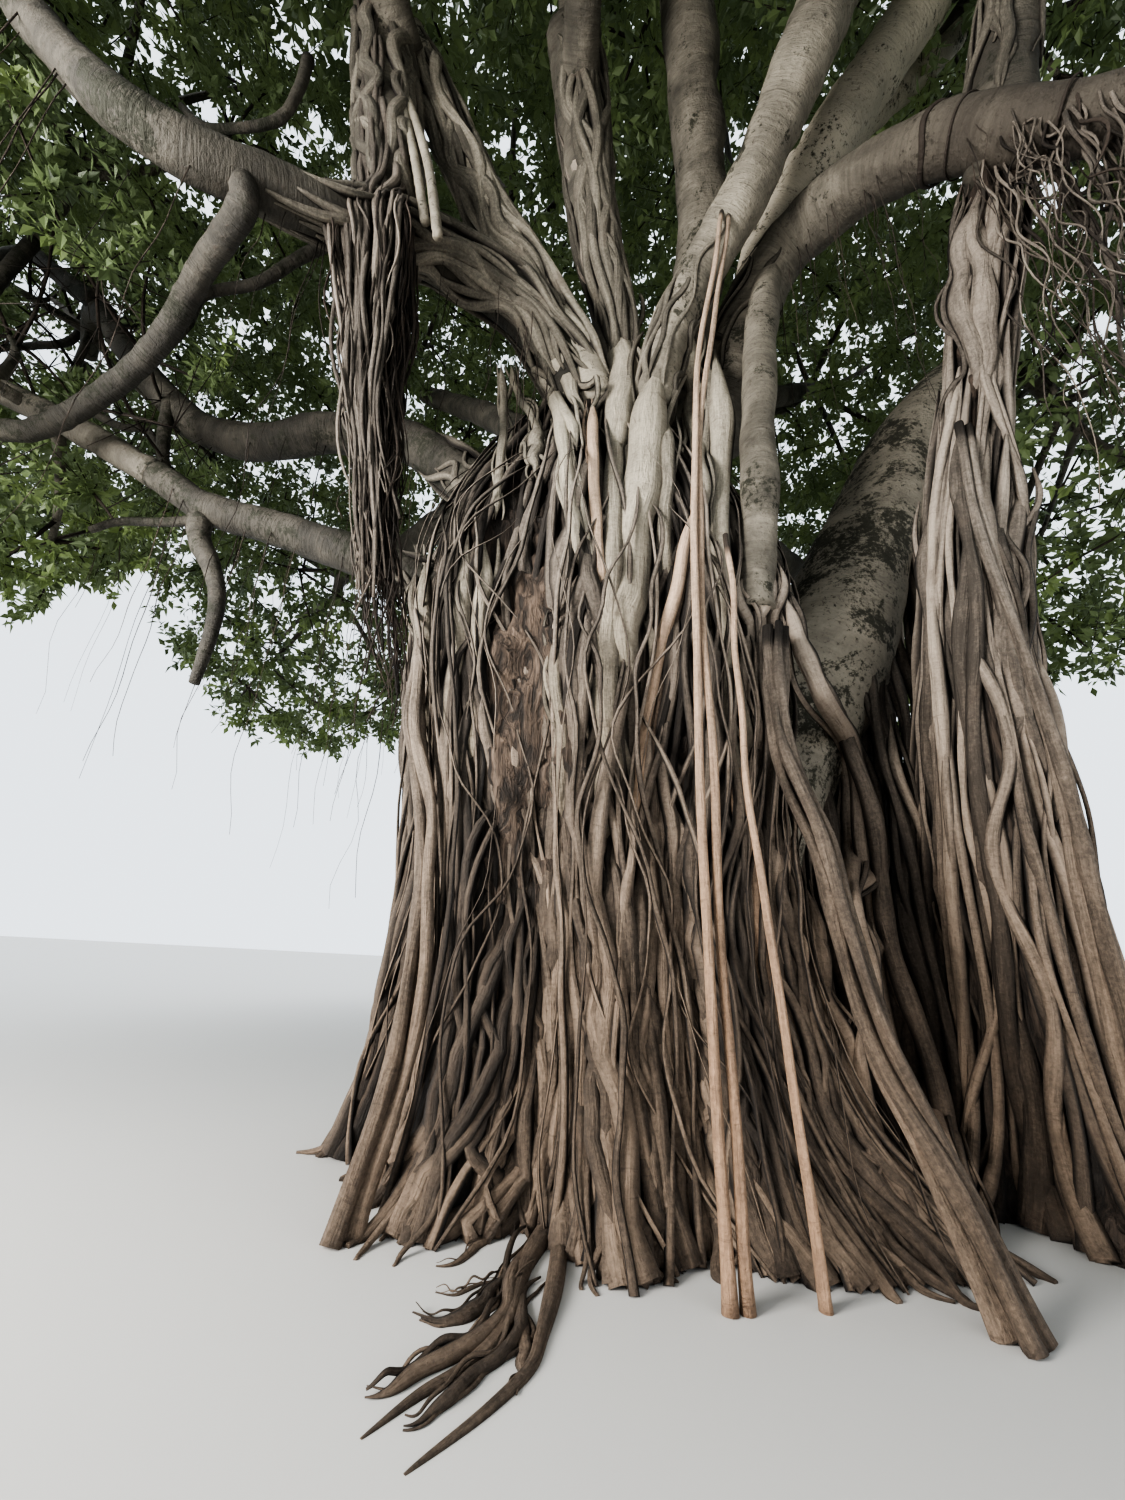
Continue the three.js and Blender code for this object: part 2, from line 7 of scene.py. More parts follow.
import bpy
import numpy as np
from bpy.props import FloatProperty, FloatVectorProperty, IntProperty, PointerProperty
from mathutils import Matrix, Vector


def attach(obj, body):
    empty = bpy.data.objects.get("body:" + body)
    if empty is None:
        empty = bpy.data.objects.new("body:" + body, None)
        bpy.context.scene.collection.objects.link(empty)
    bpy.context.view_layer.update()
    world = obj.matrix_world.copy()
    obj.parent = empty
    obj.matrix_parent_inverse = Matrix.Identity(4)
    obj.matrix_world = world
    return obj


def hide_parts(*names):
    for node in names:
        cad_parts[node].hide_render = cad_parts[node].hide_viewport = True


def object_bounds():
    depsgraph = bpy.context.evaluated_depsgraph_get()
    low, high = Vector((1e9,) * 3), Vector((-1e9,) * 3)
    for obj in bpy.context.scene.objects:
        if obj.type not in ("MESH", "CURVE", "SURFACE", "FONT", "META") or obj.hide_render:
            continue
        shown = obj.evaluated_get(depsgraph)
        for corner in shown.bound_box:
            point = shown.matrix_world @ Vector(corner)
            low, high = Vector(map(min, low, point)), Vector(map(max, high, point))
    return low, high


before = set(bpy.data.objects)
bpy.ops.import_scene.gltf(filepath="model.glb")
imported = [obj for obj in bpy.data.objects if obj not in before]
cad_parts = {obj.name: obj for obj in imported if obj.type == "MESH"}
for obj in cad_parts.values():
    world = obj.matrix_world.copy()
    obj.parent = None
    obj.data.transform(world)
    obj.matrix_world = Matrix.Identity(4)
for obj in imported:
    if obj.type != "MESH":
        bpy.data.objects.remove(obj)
CAD_BOX = [list(corner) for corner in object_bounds()]

bl_info = {
    "name": "Banyan tree",
    "version": (1, 0, 0),
    "blender": (4, 5, 0),
    "location": "3D View > Sidebar > Banyan",
    "description": "Dresses a banyan's frame with roots, bark, twigs and leaves",
    "category": "Object",
}

# The photo's frame in pixels, and where its camera stood
PHOTO_WIDTH = 1125
PHOTO_HEIGHT = 1500
PHOTO_FOCAL = 562
CAMERA_AT = np.array((-0.5, -5.7, 1.55))
CAMERA_PITCH = math.radians(20.5)
CAMERA_ROLL = math.radians(3.0)
SENSOR = 36.0

# The stage
FLOOR_COLOUR = (0.5, 0.49, 0.47)
SKY_COLOUR = (0.86, 0.93, 1.0)
SKY_STRENGTH = 1.5
LIGHT_COLOUR = (1.0, 0.98, 0.95)
SUN_FROM = (-12, -14, 30)
SUN_TOWARDS = (0, 0, 8)
SUN_STRENGTH = 1.5
SUN_ANGLE = math.radians(40)
# Area lights: place, target, side in metres and power
LIGHTS = {
    "front_left": ((-9, -8, 4.5), (0, 0, 5.0), 4, 2500),
    "front_right": ((7, -9, 2.5), (2, 0, 3.5), 5, 150),
}

# The trunk's outline, as the frame has it
TRUNK_HEIGHT = 8.6
TRUNK_HALF_WIDTH = 1.86
TRUNK_HALF_DEPTH = 1.54
TRUNK_SWELL = 0.24
FORK_TAPER = 0.9
FORK_START = 5.4
TRUNK_LEAN = -0.22
TRUNK_FLARE = {"all_round": 0.18, "front": 0.55, "angle": -0.85, "fade": 0.6}
TRUNK_FLUTES = ((9, 0.04, 1.1), (13, 0.035, 2.1), (5, 0.03, 4.0))
TRUNK_FLUTE_FLARE = 1.2
# Angles round the trunk between which the camera sees it
FRONT_SECTOR = (-2.7, -0.25)
# Layers of low roots at the front: their top, how many, and their least and greatest radius
LOW_LAYERS = ((4.6, 30, (0.04, 0.09)), (3.2, 38, (0.03, 0.07)), (2.0, 44, (0.025, 0.06)))
# Roots that cross the others: how far they wander in radians, how many, and their radii
CROSSING_ROOTS = ((0.09, 11, (0.014, 0.034)), (0.13, 6, (0.008, 0.018)))

# The second column of roots
COLUMN_PATH = ((3.5, -0.5, 0), (3.4, -0.85, 3.0), (3.45, -1.35, 6.0), (3.6, -2.5, 9.3))
COLUMN_RADIUS = 0.62
COLUMN_TOP_RADIUS = 0.3
COLUMN_FLARE = {"all_round": 0.42, "front": 0.1, "angle": 0.0, "fade": 0.5}
COLUMN_FLUTES = ((7, 0.1, 0.7), (4, 0.06, 1.9))
COLUMN_FLUTE_FLARE = 0.9
# The column's layers of roots: how many, their radii, how far out they lie, and how dark they are with
# painted shade
COLUMN_LAYERS = ((40, (0.02, 0.045), -0.07, 0.35), (44, (0.025, 0.07), -0.02, 0.0))

# How dark the painted shade is in the crease where a root meets what it lies on, from 0 to 1
DEEPEST_SHADE = 0.95
# How far a tube's bark pattern may be moved along it, in metres
BARK_SHIFT = 90.0
# The colours of the moss and of the trunk's core, whose dark brown is partly painted shade for the core
# behind the roots, and what the roots' colour is multiplied by at the ground
MOSS = (0.022, 0.023, 0.013)
CORE_BARK = (0.15, 0.108, 0.08)
FOOT_DARKENING = (0.63, 0.54, 0.465)
UP = np.array([0.0, 0.0, 1.0])
TOWARDS_FRONT = np.array([0.0, -1.0, 0.0])

# Boughs, by their names in the frame without bough_ before them: root and tip radius, then the points that
# each passes through
BOUGHS = {
    "right_low": (0.38, 0.24, ((1.3, -0.3, 8.3), (1.65, -0.75, 9.6), (2.05, -1.2, 10.3),
        (2.5, -1.8, 10.25), (3.1, -2.5, 9.7), (3.75, -2.9, 9.1), (4.5, -3.2, 8.75), (5.6, -3.5, 8.9),
        (6.6, -3.7, 9.6))),
    "left_high": (0.36, 0.1, ((-0.3, -0.5, 7.9), (-1.2, -1.1, 8.95), (-2.3, -1.65, 9.05),
        (-3.3, -2.4, 8.3), (-4.3, -3.05, 7.95), (-5.25, -3.3, 8.73), (-6.3, -3.5, 9.9), (-7.1, -3.8, 10.4))),
    "left_mid": (0.32, 0.18, ((-1.0, -0.1, 6.4), (-2.1, 0.0, 7.5), (-2.9, 0.0, 8.03), (-3.9, 0.1, 8.2),
        (-4.95, 0.2, 8.07), (-5.85, 0.25, 8.35), (-6.5, 0.25, 8.9), (-7.3, 0.3, 9.75), (-8.1, 0.35, 10.75))),
    "left_low": (0.25, 0.16, ((-1.5, -0.3, 5.15), (-2.4, -0.6, 5.43), (-3.1, -0.7, 5.62),
        (-3.75, -0.7, 5.83), (-4.5, -0.8, 5.98), (-5.1, -0.9, 6.3))),
    "right_back": (0.84, 0.4, ((1.3, 0.1, 3.0), (2.4, 0.05, 4.9), (3.2, 0.15, 6.5), (4.85, 0.5, 9.6),
        (6.4, 0.9, 11.6))),
    "right_y": (0.22, 0.34, ((0.3, -0.85, 7.3), (0.5, -1.1, 8.5), (0.85, -1.4, 9.35), (1.3, -1.85, 10.05),
        (1.85, -2.6, 11.3), (2.3, -2.95, 12.5))),
    "right_up": (0.32, 0.35, ((1.7, -0.8, 9.8), (1.95, -1.15, 10.75), (2.35, -1.6, 11.35),
        (2.9, -2.0, 12.1), (3.6, -2.4, 13.2))),
    "right_fork": (0.28, 0.2, ((2.4, -1.5, 11.5), (3.2, -1.6, 12.6), (4.0, -1.65, 13.6), (4.7, -1.7, 14.6))),
    "right_wrapped": (0.3, 0.18, ((3.6, -2.6, 9.4), (3.55, -3.3, 10.8), (3.9, -5.0, 11.7),
        (4.3, -6.2, 11.7))),
    "left_column": (0.32, 0.34, ((-2.7, -1.8, 8.95), (-2.94, -1.9, 10.46), (-3.1, -2.05, 11.6),
        (-3.3, -2.3, 12.9))),
    "left_upper": (0.3, 0.2, ((-0.35, -0.7, 8.1), (-0.8, -0.95, 9.0), (-1.5, -1.25, 10.0),
        (-2.1, -1.55, 10.95), (-2.65, -1.85, 12.0), (-2.95, -2.05, 12.7))),
    "left_fork": (0.125, 0.08, ((-3.6, -2.65, 7.75), (-4.2, -2.2, 7.6), (-4.65, -1.85, 7.2),
        (-5.3, -1.55, 6.75), (-6.1, -1.4, 6.3), (-7.0, -1.4, 6.6), (-7.5, -1.3, 8.0), (-7.4, -1.25, 9.6))),
    "centre_wrapped": (0.18, 0.36, ((0.03, -0.45, 8.1), (-0.1, -0.8, 9.3), (-0.42, -1.15, 10.4),
        (-0.62, -1.5, 11.6), (-0.85, -2.0, 13.1))),
    "centre_smooth": (0.32, 0.36, ((0.75, -0.4, 8.1), (1.0, -0.7, 10.1), (1.03, -1.1, 11.4),
        (0.85, -1.6, 12.5), (0.6, -2.3, 14.1))),
    "top_left": (0.4, 0.22, ((-0.3, 0.2, 8.1), (-0.9, 0.9, 11.5), (-1.6, 1.5, 14.6))),
    "top_right": (0.38, 0.2, ((0.5, 0.1, 8.1), (1.3, 0.6, 11.5), (2.2, 0.8, 14.8))),
    "back_left": (0.42, 0.2, ((-0.7, 0.5, 7.3), (-2.6, 2.6, 9.2), (-4.6, 4.6, 9.8), (-6.0, 5.8, 10.6))),
    "back": (0.42, 0.2, ((0.0, 0.7, 7.4), (0.2, 3.0, 9.4), (0.1, 5.5, 10.0), (-0.2, 7.4, 10.8))),
    "back_right": (0.4, 0.2, ((0.7, 0.5, 7.4), (2.4, 2.6, 9.4), (4.4, 4.6, 10.1), (5.8, 5.9, 10.8))),
    "inner_left": (0.3, 0.18, ((-0.6, 0.4, 8.2), (-2.2, 2.0, 11.0), (-3.8, 3.2, 13.0))),
    "inner_back": (0.3, 0.18, ((0.0, 0.6, 8.2), (0.1, 2.5, 11.4), (0.0, 4.0, 13.4))),
    "inner_right": (0.3, 0.18, ((0.8, 0.4, 8.2), (2.5, 1.7, 11.2), (4.2, 2.8, 13.2))),
    "front_left": (0.24, 0.16, ((-3.0, -2.3, 12.1), (-3.5, -4.5, 12.5), (-3.9, -6.3, 11.7))),
    "front": (0.24, 0.16, ((-0.75, -1.9, 12.3), (-0.6, -4.6, 12.7), (-0.3, -6.6, 11.9))),
}
BACK_BOUGHS = ("top_left", "top_right", "back_left", "back", "back_right",
               "inner_left", "inner_back", "inner_right")

# Masses of foliage, by their names without foliage_ before them: the bough that each grows from, and the
# middle and half sizes of its space
MASSES = {
    "left_low": ("left_low", (-8.2, -1.2, 7.7), (3.7, 3.5, 3.0)),
    "left_mid": ("left_mid", (-9.6, 1.8, 11.0), (3.7, 4.0, 3.2)),
    "left_high": ("left_high", (-9.0, -4.8, 10.8), (4.0, 4.0, 3.5)),
    "left_fork": ("left_fork", (-7.2, -1.2, 13.2), (3.4, 3.6, 2.6)),
    "front_left": ("front_left", (-5.0, -8.8, 10.3), (4.1, 4.0, 3.7)),
    "front": ("front", (0.2, -9.8, 10.2), (4.1, 3.8, 3.7)),
    "front_right": ("right_wrapped", (5.4, -8.6, 10.3), (4.1, 4.0, 3.7)),
    "right_low": ("right_low", (9.1, -4.3, 10.0), (4.1, 4.1, 3.9)),
    "right_back": ("right_back", (9.3, 1.8, 10.3), (4.0, 4.3, 4.2)),
    "back_right": ("back_right", (6.6, 7.5, 10.1), (4.2, 4.2, 4.2)),
    "back": ("back", (0.0, 9.4, 10.1), (4.3, 4.0, 4.2)),
    "back_left": ("back_left", (-6.8, 7.2, 10.0), (4.3, 4.2, 4.2)),
    "mid_left": ("left_column", (-4.0, -4.0, 15.0), (3.9, 4.0, 2.9)),
    "mid_front": ("centre_wrapped", (-0.4, -6.0, 15.0), (3.7, 3.9, 2.8)),
    "mid_right": ("right_y", (3.6, -4.8, 15.1), (3.8, 3.9, 2.9)),
    "upper_right": ("right_up", (6.4, -1.2, 14.7), (3.8, 3.9, 3.0)),
    "inner_right": ("inner_right", (5.2, 4.0, 14.8), (4.0, 4.0, 3.0)),
    "inner_back": ("inner_back", (0.1, 5.8, 15.2), (3.9, 3.9, 3.0)),
    "inner_left": ("inner_left", (-5.2, 3.6, 14.7), (4.1, 4.1, 3.0)),
    "top_left": ("top_left", (-2.4, 1.4, 17.2), (3.6, 3.7, 2.9)),
    "top_right": ("top_right", (2.5, 1.2, 17.2), (3.6, 3.7, 2.9)),
    "top_front": ("centre_smooth", (0.1, -2.3, 16.8), (3.6, 3.4, 2.7)),
}
LEAF_GROUPS = {
    "left_low": ("left_low", "left_mid"),
    "left_high": ("left_high", "left_fork"),
    "front": ("front_left", "front", "front_right"),
    "right": ("right_low", "right_back", "upper_right", "inner_right"),
    "back": ("back_right", "back", "back_left"),
    "middle": ("mid_left", "mid_front", "mid_right", "inner_left"),
    "top": ("inner_back", "top_left", "top_right", "top_front"),
}
# Masses near the camera, whose leaves are smaller and more
NEAR_MASSES = ("left_low", "left_mid", "left_high", "left_fork", "right_low")
NEAR_FINENESS = 2.1
GOLDEN_ANGLE = math.pi * (3 - math.sqrt(5))
GROWTH = {"limbs": 7, "limb_reach": 0.66, "limb_scatter": 0.08, "hub": 0.85, "first_limb": 0.35}
STEM_RADIUS = 0.2
HUB_RADIUS = 0.13
LIMB_RADII = (0.075, 0.04)
BRANCHLETS = 54
BRANCHLET_RADII = (0.032, 0.014)
TWIG_RADIUS = 0.009
LONGEST_TWIG = 1.6
LEAFY_PART = 0.85
# How pale the wood in a mass is, from 0 to 1, and a direction that no limb in it follows
MASS_WOOD_TONE = 0.3
SEAM_SIDE = np.array([0.13, 0.21, 1.0])
# How far a mass reaches past its ball, and past the border to its neighbours, as factors
SPACE_EDGE = 1.03
SPACE_MARGIN = 1.1

# The greens that are dealt out by spray, and how much a leaf glows
GREENS = {
    "deep": (0.055, 0.076, 0.036),
    "dark": (0.072, 0.097, 0.044),
    "mid": (0.09, 0.12, 0.052),
    "light": (0.122, 0.162, 0.062),
}
LEAF_GLOW = 0.3

# Roots that stand or hang free: finish, top and foot radius, then the points that each passes through
FREE_ROOTS = {
    "stem_right": ("pale", 0.2, 0.17, ((2.15, -1.35, 11.1), (1.97, -1.1, 10.6), (1.86, -1.06, 10.1),
        (1.5, -1.3, 8.0), (1.28, -1.5, 6.0), (1.2, -1.4, 4.6))),
    "prop_root_front": ("tan", 0.06, 0.075, ((1.05, -1.85, 9.7), (0.9, -2.0, 8.7), (0.57, -2.05, 6.3),
        (0.48, -2.08, 2.6), (0.5, -2.25, 0))),
    "prop_root_pair": ("tan", 0.05, 0.06, ((0.76, -2.0, 4.9), (0.78, -2.08, 2.6), (0.93, -2.2, 0))),
    "prop_root_right": ("grey", 0.1, 0.11, ((1.27, -1.6, 4.3), (1.2, -1.68, 3.2), (1.36, -1.82, 2.3),
        (1.46, -2.0, 1.28), (1.64, -2.2, 0.58), (1.78, -2.35, 0))),
    "prop_root_outer": ("grey", 0.085, 0.11, ((3.22, -1.78, 6.6), (3.08, -1.85, 5.4), (3.22, -1.72, 4.3),
        (3.32, -1.66, 3.1), (3.17, -1.75, 1.2), (3.05, -1.9, 0))),
    "prop_root_left": ("grey", 0.09, 0.11, ((-1.95, -0.75, 4.6), (-1.83, -1.08, 3.5), (-1.55, -1.25, 2.5),
        (-1.45, -1.42, 1.1), (-1.6, -1.75, 0))),
    "prop_root_back": ("grey", 0.12, 0.17, ((-0.6, 1.8, 6.0), (-0.7, 1.95, 3.0), (-0.8, 2.3, 0))),
}
# How many strands each of them is made of, a strand's share of its radius, the turns it winds in radians,
# and the strands' sides
BUNDLES = {
    "stem_right": (1, 1.0, 0.0, 24),
    "prop_root_front": (2, 0.42, 0.0, 14),
    "prop_root_pair": (1, 0.46, 0.0, 14),
    "prop_root_right": (4, 0.42, 2.4, 12),
    "prop_root_outer": (2, 0.45, 1.5, 14),
    "prop_root_left": (3, 0.5, 2.0, 12),
    "prop_root_back": (4, 0.48, 2.2, 12),
}
# How far down from its top each kind of free root is darkened with painted shade, where it leaves the bough
# above, in metres, and how pale it is, from 0 to 1
TOP_SHADE = {"pale": 1.5, "tan": 0.3, "grey": 0.3}
FREE_TONES = {"pale": (0.1, 0.3), "tan": (0.5, 0.9), "grey": (0.2, 0.6)}

# The hanging curtain's middle, and its groups of roots: how many, their least and greatest radius and
# length, their bark (0 hanging, 1 grey), and how far left, right, forward and back of the middle they start
CURTAIN_AXIS = ((-2.75, -2.0, 8.6), (-2.65, -1.9, 7.7), (-2.4, -1.72, 5.9), (-2.0, -1.5, 3.6))
CURTAIN_GROUPS = (
    (150, (0.008, 0.024), (1.8, 5.4), 0, (-0.1, 0.4), (-0.3, 0.34)),
    (50, (0.007, 0.018), (1.0, 5.0), 0, (-0.45, 0.2), (-0.42, 0.3)),
    (34, (0.011, 0.03), (1.4, 4.7), 1, (-0.44, 0.02), (-0.42, 0.0)),
    (8, (0.012, 0.026), (1.0, 4.6), 1, (-0.1, 0.38), (-0.44, -0.2)),
)
CURTAIN_TOP = 8.75

# Threads under the boughs: the bough, the shares of its length, how many, and the least and greatest of
# their lengths
THREADS = (
    ("left_low", (0.15, 0.95), 26, (1.2, 3.4)),
    ("left_high", (0.3, 0.75), 12, (1.5, 5.5)),
    ("left_mid", (0.2, 0.8), 16, (1.5, 5.0)),
    ("right_low", (0.35, 0.95), 34, (0.8, 3.4)),
    ("left_high", (0.02, 0.28), 30, (1.5, 5.0)),
    ("right_low", (0.12, 0.4), 22, (1.0, 4.2)),
    ("right_back", (0.6, 0.95), 16, (0.8, 3.0)),
)
THREAD_RADII = (0.003, 0.008)
# The tangle under the low right bough: how many, the shares of its length, their radii, sway and bark
TANGLE = (
    (60, (0.54, 0.97), (0.006, 0.02), 0.09, 0),
    (30, (0.54, 0.97), (0.01, 0.032), 0.12, 1),
    (60, (0.54, 0.72), (0.006, 0.022), 0.1, 1),
)
TANGLE_LENGTHS = (1.0, 4.2)

# Roots along the ground: root and tip radius, then the points passed through
GROUND_ROOTS = {
    "ground_root_long": (0.08, 0.035, ((-0.45, -1.5), (-0.57, -1.95), (-0.64, -2.5), (-0.77, -2.74),
        (-0.9, -2.87), (-1.06, -3.09))),
    "ground_root_short": (0.07, 0.03, ((-0.36, -1.6), (-0.4, -2.1), (-0.46, -2.5), (-0.5, -2.7),
        (-0.64, -2.93), (-0.88, -3.22))),
}

# Roots on the front, by the photo's pixels: width at the top and the foot, how far the root stands out of
# the bark (1 rests on it, 0 is half sunk), and the pixels that it passes through
PALE_ROOTS = {
    "outer_left": (20, 22, 0.3, ((425, 545), (422, 640), (429, 710), (436, 770))),
    "left_second": (18, 16, 0.2, ((469, 530), (463, 603), (456, 667), (453, 724), (450, 763), (448, 810))),
    "left_third": (16, 14, 0.3, ((482, 530), (485, 571), (479, 622), (476, 667), (472, 731), (479, 778),
        (485, 826))),
    "recess_edge": (14, 12, 0.3, ((558, 610), (555, 667), (562, 731), (563, 794), (558, 858))),
    "straight_thin": (5, 5, 0.9, ((573, 456), (600, 610), (625, 791))),
    "centre_pale": (16, 30, 0.3, ((617, 396), (613, 476), (611, 571), (606, 651), (603, 715), (610, 763),
        (600, 804), (590, 842))),
    "limb_foot": (34, 44, 0.1, ((672, 344), (655, 380), (648, 444), (636, 508), (629, 571), (622, 635),
        (619, 683), (616, 740))),
    "knotted_bundle": (30, 26, 0.4, ((612, 740), (610, 778), (604, 820), (590, 858), (594, 910))),
    "thin_column": (14, 14, 0.3, ((668, 412), (667, 476), (665, 539), (667, 603))),
    "broad_sheet": (24, 14, 0.2, ((716, 350), (717, 395), (722, 440), (718, 523), (722, 587), (729, 651),
        (743, 731), (753, 794))),
    "sheet_edge": (16, 14, 0.3, ((718, 635), (724, 699), (731, 747), (747, 826))),
    "behind_stem": (18, 14, 0.2, ((690, 330), (692, 400), (700, 470), (704, 540))),
    "under_fork": (12, 12, 0.5, ((521, 345), (540, 371), (560, 405), (573, 429), (577, 451))),
    "knobby_sheet": (26, 24, 0.2, ((527, 319), (549, 349), (566, 375), (575, 397), (588, 418))),
    "centre_top": (28, 26, 0.2, ((621, 304), (618, 332), (623, 375), (618, 418), (614, 479))),
    "left_strand": (8, 9, 0.3, ((501, 364), (504, 418), (498, 479), (496, 520))),
    "left_strand_pair": (7, 8, 0.4, ((510, 364), (519, 397), (532, 418), (541, 450))),
    "cut_stub": (16, 17, 0.4, ((540, 414), (536, 446), (536, 480))),
    "fork_left": (20, 16, 0.2, ((548, 300), (560, 330), (575, 352), (592, 372), (606, 396))),
    "fork_centre": (16, 14, 0.3, ((600, 318), (612, 345), (634, 368), (650, 392))),
    "under_sheet": (14, 16, 0.1, ((545, 372), (560, 420), (566, 470), (574, 520), (580, 570))),
}
GREY_ROOTS = {
    "wrap_main": (22, 22, 0.3, ((570, 124), (583, 161), (590, 197), (592, 230), (599, 275), (605, 288),
        (608, 310))),
    "slant_outer": (20, 12, 0.7, ((784, 596), (805, 655), (824, 698), (845, 735), (864, 778), (875, 822),
        (875, 869), (856, 891), (842, 898))),
    "slant_inner": (13, 12, 0.4, ((835, 720), (845, 765), (856, 905), (871, 960), (885, 1015))),
    "slant_second": (15, 16, 0.4, ((780, 669), (776, 735), (787, 771), (813, 822), (831, 869), (838, 905),
        (856, 960), (875, 1025), (904, 1087))),
    "slant_thin": (8, 8, 0.6, ((733, 669), (747, 742), (755, 833))),
    "slant_knotted": (20, 20, 0.3, ((769, 778), (773, 851), (776, 905), (787, 978), (805, 1033),
        (820, 1105))),
    "slant_right": (12, 13, 0.5, ((860, 895), (882, 945), (896, 989), (921, 1075), (959, 1175),
        (992, 1254))),
    "slant_back": (10, 10, 0.4, ((889, 713), (896, 764), (918, 822), (936, 876), (954, 953), (969, 1015),
        (973, 1069))),
    "left_slant": (12, 11, 0.5, ((478, 770), (492, 812), (512, 838), (536, 864), (548, 903), (545, 930))),
    "left_inner": (11, 12, 0.4, ((460, 600), (456, 678), (459, 740), (463, 802), (467, 857), (478, 911),
        (484, 960))),
    "low_left": (13, 16, 0.4, ((486, 860), (482, 943), (482, 1018), (469, 1109), (453, 1175))),
    "low_left_thin": (6, 6, 0.5, ((453, 868), (478, 960))),
    "low_second": (10, 10, 0.3, ((536, 860), (548, 901), (544, 951))),
    "low_third": (11, 12, 0.5, ((565, 872), (561, 935), (565, 984), (552, 1034), (532, 1067), (494, 1125),
        (453, 1183))),
    "low_right": (20, 22, 0.3, ((785, 901), (785, 984), (805, 1047), (818, 1109), (838, 1171), (868, 1254))),
    "low_right_wide": (25, 25, 0.3, ((851, 1005), (859, 1067), (868, 1130), (892, 1212), (905, 1254))),
    "low_right_pale": (11, 12, 0.5, ((872, 922), (892, 984), (921, 1059), (946, 1117), (971, 1192),
        (1004, 1275))),
    "foot_left": (12, 14, 0.5, ((411, 868), (424, 943), (407, 1034), (411, 1092), (391, 1150), (370, 1183))),
    "melted_first": (24, 22, 0.3, ((594, 850), (588, 905), (597, 950), (606, 1003), (602, 1050))),
    "melted_second": (22, 22, 0.4, ((612, 842), (618, 900), (610, 946), (618, 992), (626, 1048))),
    "melted_third": (20, 24, 0.3, ((630, 838), (634, 890), (640, 946), (632, 996), (644, 1050))),
    "melted_fourth": (20, 20, 0.2, ((585, 880), (577, 930), (584, 975), (579, 1020), (586, 1060))),
    "melted_fifth": (18, 20, 0.2, ((648, 850), (655, 905), (650, 955), (660, 1010), (656, 1066))),
    "gap_left": (16, 14, 0.1, ((520, 860), (512, 920), (520, 980), (512, 1040), (498, 1110))),
    "gap_left_second": (12, 14, 0.2, ((500, 900), (505, 960), (497, 1020), (486, 1080), (470, 1150))),
    "right_of_pair": (16, 18, 0.1, ((745, 850), (751, 920), (745, 990), (757, 1060), (762, 1130),
        (775, 1230))),
    "right_of_pair_thin": (10, 10, 0.3, ((760, 860), (768, 930), (762, 1000), (778, 1080), (800, 1170),
        (822, 1250))),
    "wall_right": (22, 22, 0.2, ((800, 880), (816, 950), (829, 1020), (843, 1090), (862, 1160),
        (885, 1240))),
    "gnarl_left": (22, 22, 0.3, ((752, 560), (746, 590), (750, 622), (743, 660), (752, 700), (762, 760))),
    "gnarl_right": (20, 22, 0.4, ((768, 560), (776, 592), (766, 622), (775, 655), (766, 690), (770, 780))),
}
TAN_ROOTS = {
    "beside_pale": (12, 11, 0.5, ((592, 399), (594, 485), (600, 558), (603, 600))),
    "prop_branch": (14, 14, 0.9, ((697, 500), (686, 539), (676, 587), (660, 651), (645, 724), (635, 794),
        (625, 858))),
    "prop_long": (17, 20, 0.7, ((729, 724), (736, 778), (747, 851), (754, 924), (769, 1015), (773, 1105),
        (793, 1192), (797, 1266))),
    "low_tan": (8, 9, 0.6, ((838, 893), (868, 1001), (905, 1092), (938, 1175), (967, 1254), (984, 1316))),
    "thin_first": (5, 5, 0.9, ((685, 860), (683, 984), (689, 1059), (693, 1192))),
    "thin_second": (5, 5, 0.9, ((691, 840), (692, 960), (698, 1080), (701, 1200))),
    "thin_third": (4, 4, 0.9, ((678, 880), (676, 990), (680, 1070), (684, 1150))),
}
COLUMN_ROOTS = {
    "left": (14, 14, 0.4, ((951, 560), (955, 651), (969, 724), (980, 793), (984, 880))),
    "main": (20, 20, 0.4, ((976, 625), (987, 705), (987, 785), (987, 851), (995, 924), (1005, 978),
        (1009, 1033), (1016, 1105))),
    "beige": (26, 22, 0.7, ((977, 424), (968, 497), (975, 520), (987, 560), (1013, 633), (1031, 705),
        (1053, 771), (1067, 815), (1078, 887), (1093, 960), (1115, 1033))),
    "thin": (8, 8, 0.6, ((1009, 702), (1002, 742), (1002, 905))),
    "slant": (9, 10, 0.6, ((1016, 887), (1035, 953), (1049, 1015), (1082, 1069))),
    "right_thin": (8, 8, 0.6, ((1042, 796), (1045, 869), (1042, 924))),
    "right": (11, 12, 0.5, ((1056, 815), (1060, 887), (1071, 960), (1088, 1050))),
    "top_left": (26, 28, 0.3, ((978, 178), (974, 240), (970, 300), (974, 360), (977, 424))),
    "top_right": (24, 24, 0.3, ((1012, 176), (1003, 230), (993, 290), (984, 340), (987, 420))),
    "pale_tube": (26, 26, 0.2, ((1001, 470), (1004, 540), (1010, 600), (1016, 700), (1024, 790))),
    "long_thin": (9, 9, 0.9, ((980, 330), (986, 383), (1007, 439), (1024, 506), (1030, 600), (1034, 690))),
    "edge": (16, 14, 0.3, ((930, 500), (926, 560), (932, 640), (928, 720), (938, 800), (944, 900))),
}
